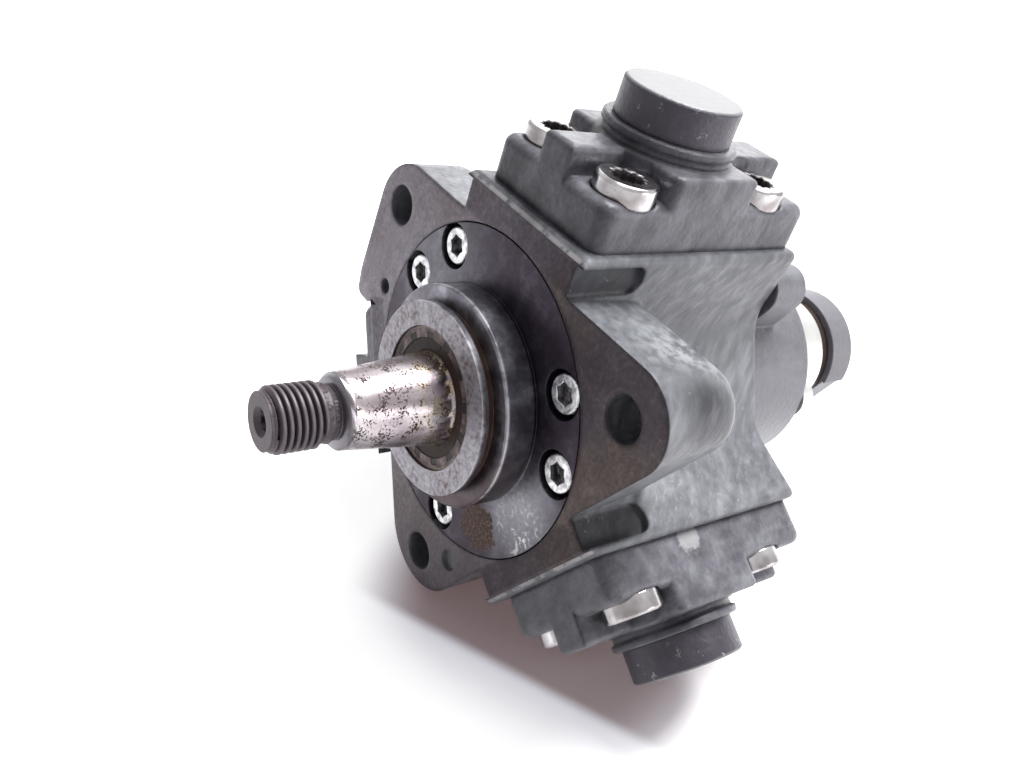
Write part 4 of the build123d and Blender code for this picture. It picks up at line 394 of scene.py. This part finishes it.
# Painted shade: the bolts' sockets are painted nearly black.
painted_socket_shade = chrome_tone.mix((0.030, 0.024, 0.026), (0.16, 0.14, 0.15))
chrome.give(colour=socket.mix(chrome_colour, painted_socket_shade), rough=0.13 + chrome_tone * 0.12 + socket * 0.2,
            metal=1.0 - socket * 0.4, height=chrome_tone, depth=0.00005, soft=0.0006)
chrome.put_on("head_bolts")

# Drive shaft
# Ground steel. The cone is polished but peppered with dark pits, the thread is oiled and brown.
# The thread is one tooth carried round the core, a pitch further on each turn, and it fades at both ends.
THREAD_START = -0.0482
THREAD_STOP = -0.0366
THREAD_RADIUS = 0.0070
THREAD_TURNS = 7
CORE_RADIUS = 0.00615
PITCH = 0.0015
STEPS_A_TURN = 72
CONE_TIP_Y = -0.0349
NECK_Y = -0.0326
CONE_MIDDLE_Y = -0.0230
GILT_START_Y = -0.0180
CONE_RINGS = (-0.0322, -0.0124)
shaft = Finish("shaft_ground_steel")
pits = shaft.point.noise(1900, 4, 0.62)
blots = shaft.point.noise(330, 3)
thread_side = shaft.y.below(CONE_MIDDLE_Y, 0.0100)
neck = shaft.y.above(NECK_Y, 0.0004)
patches = (pits + blots * 0.60 + thread_side * 0.03).step(0.895, 0.930) * neck
cone = shaft.y.above(CONE_TIP_Y, 0.0003)
polish = shaft.drawn((0, 1, 0), 0.5).noise(160, 3, 0.5).ramp(
    (0.34, (0.24, 0.195, 0.215)), (0.50, (0.37, 0.32, 0.34)), (0.66, (0.52, 0.48, 0.49)))
polish = neck.mix((0.16, 0.15, 0.165), polish)
gilt = shaft.y.above(GILT_START_Y, 0.0030) * blots.step(0.42, 0.60)
polish = (gilt * 0.6).mix(polish, (0.44, 0.34, 0.20))
polish = patches.mix(polish, (0.060, 0.032, 0.028))
crest = shaft.from_shaft().above(THREAD_RADIUS - 0.00015, 0.00013) * (1 - cone)
oiled_thread = shaft.point.noise(380, 4).mix((0.052, 0.038, 0.046), (0.105, 0.086, 0.100))
oiled_thread = (crest * 0.6).mix(oiled_thread, (0.14, 0.12, 0.135))
shaft.give(
    colour=cone.mix(oiled_thread, polish),
    rough=0.50 - cone * 0.23 + patches * 0.30 * cone,
    metal=0.30 + cone * 0.55 - patches * 0.6 * cone,
    height=1 - patches * cone + shaft.point.noise(1500, 2) * 0.15,
    depth=0.00012,
    soft=0.0002,
)


def merged_copy(node, name):
    """A copy of a CAD node's mesh as a piece of its own, its loose triangles joined."""
    piece = bpy.data.objects.new(name, nodes[node].data.copy())
    bpy.context.collection.objects.link(piece)
    bpy.context.view_layer.objects.active = piece
    piece.select_set(True)
    bpy.ops.object.mode_set(mode="EDIT")
    bpy.ops.mesh.select_all(action="SELECT")
    bpy.ops.mesh.remove_doubles(threshold=0.000002)
    bpy.ops.mesh.select_all(action="DESELECT")
    bpy.ops.object.mode_set(mode="OBJECT")
    return piece


turned_shaft = merged_copy("drive_shaft", "turned_shaft")
for vertex in turned_shaft.data.vertices:
    from_axis = Vector((vertex.co.x, 0, vertex.co.z)).length
    vertex.select = vertex.co.y < THREAD_STOP and from_axis > CORE_RADIUS
bpy.ops.object.mode_set(mode="EDIT")
bpy.ops.transform.resize(value=(CORE_RADIUS / THREAD_RADIUS, 1, CORE_RADIUS / THREAD_RADIUS),
                         center_override=(0, 0, 0))
for ring in CONE_RINGS:
    bpy.ops.mesh.select_all(action="SELECT")
    bpy.ops.mesh.bisect(plane_co=(0, ring, 0), plane_no=(0, 1, 0))
bpy.ops.object.mode_set(mode="OBJECT")
bpy.ops.object.shade_smooth_by_angle(angle=radians(13))
shaft.coat(turned_shaft)
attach(turned_shaft, "shaft")
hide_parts("drive_shaft")
turned_shaft.select_set(False)

TOOTH_SHOULDER = THREAD_RADIUS - 0.00014
TOOTH_FOOT = CORE_RADIUS * 0.95
RUN_OUT_RADIUS = CORE_RADIUS * 0.96
RUN_OUT_SLOPE = 1.1
tooth = ((THREAD_RADIUS, -0.14), (THREAD_RADIUS, 0.14), (TOOTH_SHOULDER, 0.26), (CORE_RADIUS, 0.48),
         (TOOTH_FOOT, 0.48), (TOOTH_FOOT, -0.48), (CORE_RADIUS, -0.48), (TOOTH_SHOULDER, -0.26))
bpy.ops.mesh.primitive_circle_add(vertices=len(tooth), radius=THREAD_RADIUS)
screw_thread = bpy.context.object
screw_thread.name = "screw_thread"
for vertex, (out, along) in zip(screw_thread.data.vertices, tooth):
    vertex.co = (out, THREAD_START + along * PITCH, 0)
cutting = screw_thread.modifiers.new("cutting", "SCREW")
cutting.axis = "Y"
cutting.screw_offset = PITCH
cutting.iterations = THREAD_TURNS
cutting.steps = STEPS_A_TURN
cutting.render_steps = STEPS_A_TURN
cutting.use_merge_vertices = False
bpy.ops.object.modifier_apply(modifier="cutting")
for vertex in screw_thread.data.vertices:
    out = Vector((vertex.co.x, 0, vertex.co.z))
    room = min(vertex.co.y - THREAD_START, THREAD_STOP - vertex.co.y)
    most = min(THREAD_RADIUS, RUN_OUT_RADIUS + max(room, 0) * RUN_OUT_SLOPE)
    if out.length > most:
        out = out * (most / out.length)
        vertex.co = (out.x, vertex.co.y, out.z)
bpy.ops.object.mode_set(mode="EDIT")
bpy.ops.mesh.select_all(action="SELECT")
bpy.ops.mesh.fill_holes(sides=len(tooth))
bpy.ops.mesh.normals_make_consistent(inside=False)
bpy.ops.object.mode_set(mode="OBJECT")
bpy.ops.object.shade_smooth_by_angle(angle=radians(25))
shaft.coat(screw_thread)
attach(screw_thread, "shaft")
screw_thread.select_set(False)

# Shaft seal
# A pressed steel case holds a black rubber lip against the shaft, and a web with slots shows in front.
# Grease and dust have stuck to both. The other seal rings are of the same rubber.
SEAL_SLOTS = 13
WEB_INNER_RADIUS = 0.01345
WEB_OUTER_RADIUS = 0.01485
CASE_RIM_RADIUS = 0.01550
rubber = Finish("seal_rubber")
rubber_tone = rubber.point.noise(500, 4)
rubber.give(colour=rubber_tone.mix((0.010, 0.006, 0.005), (0.042, 0.022, 0.017)),
            rough=0.52 + rubber_tone * 0.2, height=rubber_tone, depth=0.0002, soft=0.0003, gloss=0.25)
rubber.put_on("shaft_seal_lip", "cover_seal_ring", "head_seal_rings", "rear_seal_ring", "valve_seal_washer")
seal_case = Finish("seal_case_steel")
case_tone = seal_case.point.noise(450, 4)
round_shaft = seal_case.x.math("ARCTAN2", seal_case.x, seal_case.z)
web = seal_case.from_shaft().above(WEB_INNER_RADIUS, 0.00015)
web = web * seal_case.from_shaft().below(WEB_OUTER_RADIUS, 0.00015)
slots = (round_shaft * SEAL_SLOTS).sine().step(0.30, 0.62) * web
case_rim = seal_case.from_shaft().above(CASE_RIM_RADIUS, 0.0001)
case_colour = case_tone.ramp(
    (0.34, (0.048, 0.030, 0.029)), (0.50, (0.105, 0.076, 0.074)), (0.66, (0.21, 0.170, 0.165)))
case_colour = (case_rim * 0.6).mix(case_colour, (0.26, 0.22, 0.20))
seal_case.give(colour=slots.mix(case_colour, (0.010, 0.008, 0.007)), rough=0.42 + case_tone * 0.2,
               metal=0.5 - slots * 0.4, height=case_tone * 0.2 - slots, depth=0.0003, soft=0.0003, gloss=0.3)
seal_case.put_on("shaft_seal_case")

# Plunger heads
# Black painted forgings. Each sits on its seat with four bolts and carries a plug on its tower.
# Pale dust has settled on the upper side of the right one.
DUSTY_PLACE = (0.0500, 0.0290, -0.0080)
forged = Finish("head_black_forging")
forged_lumps = forged.point.noise(210, 3)
forged_grit = forged.point.noise(800, 3, 0.6)
forged_wear = forged.drawn((0.2, 0.3, 0.9), 0.5).noise(190, 4, 0.65)
forged_colour = forged_wear.ramp(
    (0.34, (0.080, 0.078, 0.092)), (0.52, (0.142, 0.141, 0.160)), (0.70, (0.225, 0.227, 0.250)))
dust = forged.near(DUSTY_PLACE, 0.0040, 0.0050) + forged_wear * 0.9 + forged_lumps * 0.5
forged_colour = (dust.step(1.24, 1.38) * 0.75).mix(forged_colour, (0.38, 0.38, 0.39))
forged.give(colour=forged_colour, rough=0.27 + forged_grit * 0.14,
            height=forged_lumps * 0.7 + forged_grit * 0.3, depth=0.00045, soft=0.0014, gloss=0.3)
forged.put_on("head_top", "head_right", "head_left")

# Valve plugs
# Turned steel caps, each screwed into a head's tower. They are black on the side, chipped towards the
# top edge, and rubbed to a pale grey on the flat top.
CAP_TOP = 0.072375
CAP_SIDE = 0.0660
for name, angle in SEAT_ANGLES.items():
    plug = Finish("plug_black_" + name)
    plug_tone = plug.point.noise(260, 4, 0.6)
    top = plug.along(angle).above(CAP_TOP, 0.000125)
    chips = plug.point.noise(420, 4, 0.7).step(0.64, 0.68) * plug.along(angle).above(CAP_SIDE, 0.0060)
    side = (chips * 0.7).mix(plug_tone.mix((0.026, 0.022, 0.033), (0.078, 0.072, 0.090)), (0.34, 0.32, 0.32))
    worn = plug_tone.mix((0.15, 0.15, 0.16), (0.26, 0.26, 0.27))
    plug.give(colour=top.mix(side, worn), rough=0.34 + plug_tone * 0.15, metal=0.35,
              height=plug.point.noise(900, 3), depth=0.00015, soft=0.0005)
    plug.put_on("valve_plug_" + name)

# Rear cover
# A block of cast alloy, left bare and grey, with painted light making it a little paler underneath.
# Three screws hold it to the housing, with a seal ring between them.
alloy = Finish("rear_cast_alloy")
alloy_tone = alloy.point.noise(230, 4, 0.6)
# Painted light: the lower side is painted paler.
painted_lit_underside = alloy.z.below(0.001, 0.011)
alloy_colour = alloy_tone.mix((0.095, 0.095, 0.108), (0.20, 0.20, 0.22))
alloy_colour = (painted_lit_underside * 0.6).mix(alloy_colour, (0.34, 0.34, 0.36))
alloy.give(colour=alloy_colour, rough=0.45 + alloy_tone * 0.12, metal=0.45,
           height=alloy.point.noise(700, 3), depth=0.0003, soft=0.0010)
alloy.put_on("rear_cover")

# Metering valve
# A bright drawn steel sleeve over the coil, with a black ring and a plastic connector behind it.
# Three screws hold its flange to the rear cover.
bright = Finish("sleeve_bright_steel")
bright_tone = bright.point.noise(180, 3)
bright.give(colour=bright_tone.mix((0.66, 0.66, 0.65), (0.86, 0.86, 0.85)), rough=0.24 + bright_tone * 0.1,
            metal=1.0, height=bright.point.noise(700, 2), depth=0.00005, soft=0.0003)
bright.put_on("metering_valve_body")
moulding = Finish("connector_grey_plastic")
moulding_tone = moulding.point.noise(600, 3)
moulding.give(colour=moulding_tone.mix((0.120, 0.115, 0.132), (0.185, 0.180, 0.200)),
              rough=0.42 + moulding_tone * 0.1, height=moulding_tone, depth=0.0001, soft=0.0007)
moulding.put_on("connector")

# Bearings and connector pins
# Bronze bushes and washers in which the shaft and the cam ring run. The connector's pins are bronze
# blades, moulded into its socket.
bronze = Finish("bearing_bronze")
bronze_tone = bronze.point.noise(500, 3)
bronze.give(colour=bronze_tone.mix((0.42, 0.25, 0.10), (0.66, 0.46, 0.24)), rough=0.30 + bronze_tone * 0.1,
            metal=1.0, height=bronze_tone, depth=0.00008)
bronze.put_on("front_bush", "rear_bush", "thrust_washers", "cam_ring_bush", "connector_pins")

# Cam ring, plungers and valves
# Hardened and lapped steel, bright and clean under the fuel: all that slides or rolls inside, and the
# fixed core of the coil.
lapped = Finish("lapped_steel")
lapped_tone = lapped.point.noise(400, 3)
lapped.give(colour=lapped_tone.mix((0.46, 0.46, 0.47), (0.66, 0.66, 0.67)), rough=0.18 + lapped_tone * 0.1,
            metal=1.0, height=lapped_tone, depth=0.00004, soft=0.0002)
lapped.put_on("cam_ring", "metering_piston", "solenoid_core", *[
    piece + name for piece in ("plunger_", "plunger_foot_", "suction_valve_", "discharge_ball_")
    for name in SEAT_ANGLES])

# Springs and coil
# Oil-tempered spring wire, and the coil's lacquered copper winding. Each spring that a joint presses is
# copied as a piece of its own, its loose triangles joined, and hung on the pump body.
COIL_TURNS = 9000.0
wire_steel = Finish("spring_wire")
wire_tone = wire_steel.point.noise(500, 3)
wire_steel.give(colour=wire_tone.mix((0.16, 0.15, 0.15), (0.34, 0.33, 0.33)), rough=0.32 + wire_tone * 0.1,
                metal=1.0, height=wire_tone, depth=0.00005)
wire_steel.put_on("seal_garter_spring")
for joint in frame["record"]["behaviour"]["joints"]:
    for pressed in joint.get("deforming_nodes", []):
        spring = merged_copy(pressed["node"], "pressed_" + pressed["node"])
        bpy.ops.object.shade_smooth_by_angle(angle=radians(40))
        wire_steel.coat(spring)
        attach(spring, "pump_body")
        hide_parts(pressed["node"])
        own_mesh(spring)
        spring.select_set(False)
copper = Finish("coil_copper")
turns = (copper.y * COIL_TURNS).sine()
copper.give(colour=turns.step(-1, 1).mix((0.30, 0.10, 0.04), (0.62, 0.28, 0.14)), rough=0.34 + turns * 0.04,
            metal=0.9, height=turns, depth=0.0001)
copper.put_on("solenoid_coil")

# Floor
# Plain white glazed tile. The pump lies on its lower lug and the rear corners of the lower heads,
# so the floor is tilted under the upright frame.
# A painted shadow dims the tile's glow under the pump.
FLOOR_UP = Vector((0, -0.288, 0.958)).normalized()
FLOOR_DROP = 0.0592
FLOOR_RADIUS = 2.5
SHADOW_PLACE = (0.025, 0.027, -0.054)
SHADOW_RADIUS = 0.043
HAZE_EDGE = -0.0185
SHADE_EDGE = -0.00925
bpy.ops.mesh.primitive_circle_add(vertices=96, radius=FLOOR_RADIUS, fill_type="NGON")
floor = bpy.context.object
floor.name = "floor"
floor_tilt = FLOOR_UP.to_track_quat("Z", "Y").to_matrix().to_4x4()
floor.data.transform(Matrix.Translation(FLOOR_UP * -FLOOR_DROP) @ floor_tilt)
tile = Finish("floor_white_tile")
tile.give(colour=(0.80, 0.79, 0.80, 1), rough=0.55, height=tile.point.noise(40, 1), depth=0.0)
# Painted shadow: the glow is dimmed under the pump to the shadow's shape, brownish in its core with a bluish
# haze about it.
under = tile.near(SHADOW_PLACE, SHADOW_RADIUS, 0.012)
inward = tile.y - tile.x * 0.5
haze = under * inward.above(HAZE_EDGE, 0.0115)
shade = under * inward.above(SHADE_EDGE, 0.00225)
white_glow = tile.point.node("Emission", Color=(1, 1, 1, 1), Strength=0.85)
haze_glow = tile.point.node("Emission", Color=(0.92, 0.92, 1, 1), Strength=0.50)
shade_glow = tile.point.node("Emission", Color=(1, 0.58, 0.56, 1), Strength=0.09)
glow = tile.point.node("MixShader", s0=haze, s1=white_glow, s2=haze_glow)
glow = tile.point.node("MixShader", s0=shade, s1=glow, s2=shade_glow)
to_camera = tile.point.node("LightPath", output="Is Camera Ray")
in_gloss = tile.point.node("LightPath", output="Is Glossy Ray")
matt = Wire(tile.tree, tile.shader.outputs[0])
glowing = tile.point.node("AddShader", s0=matt, s1=glow)
from_above = tile.point.node("MixShader", s0=(to_camera + in_gloss).capped(), s1=matt, s2=glowing)
clear = tile.point.node("BsdfTransparent")
from_below = tile.point.node("NewGeometry", output="Backfacing")
shown = tile.point.node("MixShader", s0=from_below, s1=from_above, s2=clear)
tile.tree.links.new(shown.socket, tile.tree.nodes["Material Output"].inputs["Surface"])
tile.coat(floor)

# Camera, lamps and room
# The camera stands where the photograph was taken from. Three softboxes light the pump from above and
# from the sides, and the room is white to the camera and in every mirrored surface.
CAMERA_PLACE = Vector((0.13058, -0.11447, 0.11041))
CAMERA_RIGHT = Vector((0.5416, 0.7947, 0.2741))
CAMERA_UP = Vector((-0.5740, 0.1113, 0.8113))
CAMERA_BACK = Vector((0.6142, -0.5967, 0.5164))
FOCAL_PIXELS = 907.585
PHOTO_WIDTH = 1024
SENSOR_WIDTH = 36.0
PUMP_MIDDLE = Vector((0, 0.03, 0))
lens = bpy.data.cameras.new("camera")
lens.sensor_fit = "HORIZONTAL"
lens.sensor_width = SENSOR_WIDTH
lens.lens = FOCAL_PIXELS / PHOTO_WIDTH * SENSOR_WIDTH
lens.clip_start = 0.01
camera = bpy.data.objects.new("camera", lens)
bpy.context.collection.objects.link(camera)
camera_turn = Matrix((CAMERA_RIGHT, CAMERA_UP, CAMERA_BACK)).transposed().to_4x4()
camera.matrix_world = Matrix.Translation(CAMERA_PLACE) @ camera_turn
bpy.context.scene.camera = camera


def softbox(name, place, size, power):
    """A square area lamp aimed at the pump's middle."""
    lamp = bpy.data.lights.new(name, "AREA")
    lamp.size = size
    lamp.energy = power
    holder = bpy.data.objects.new(name, lamp)
    bpy.context.collection.objects.link(holder)
    place = Vector(place)
    aim = (place - PUMP_MIDDLE).to_track_quat("Z", "Y").to_matrix().to_4x4()
    holder.matrix_world = Matrix.Translation(place) @ aim


softbox("skylight", (-0.12, 0.38, 1.12), 0.6, 26)
softbox("window", (1.12, 0.68, 0.26), 0.6, 9)
softbox("far_window", (-0.88, 0.85, 0.62), 0.7, 3)

room = bpy.data.worlds.new("room")
bpy.context.scene.world = room
room.use_nodes = True
sky = room.node_tree.nodes["Background"]
sky.inputs["Color"].default_value = (0.94, 0.90, 1.0, 1)
sky.inputs["Strength"].default_value = 0.14
air = Wire(room.node_tree)
to_camera = air.node("LightPath", output="Is Camera Ray")
in_gloss = air.node("LightPath", output="Is Glossy Ray")
white = air.node("Background", Color=(1, 1, 1, 1), Strength=1.0)
walls = air.node("MixShader", s0=(to_camera + in_gloss).capped(),
                 s1=Wire(room.node_tree, sky.outputs[0]), s2=white)
room.node_tree.links.new(walls.socket, room.node_tree.nodes["World Output"].inputs["Surface"])
bpy.context.scene.view_settings.view_transform = "Standard"
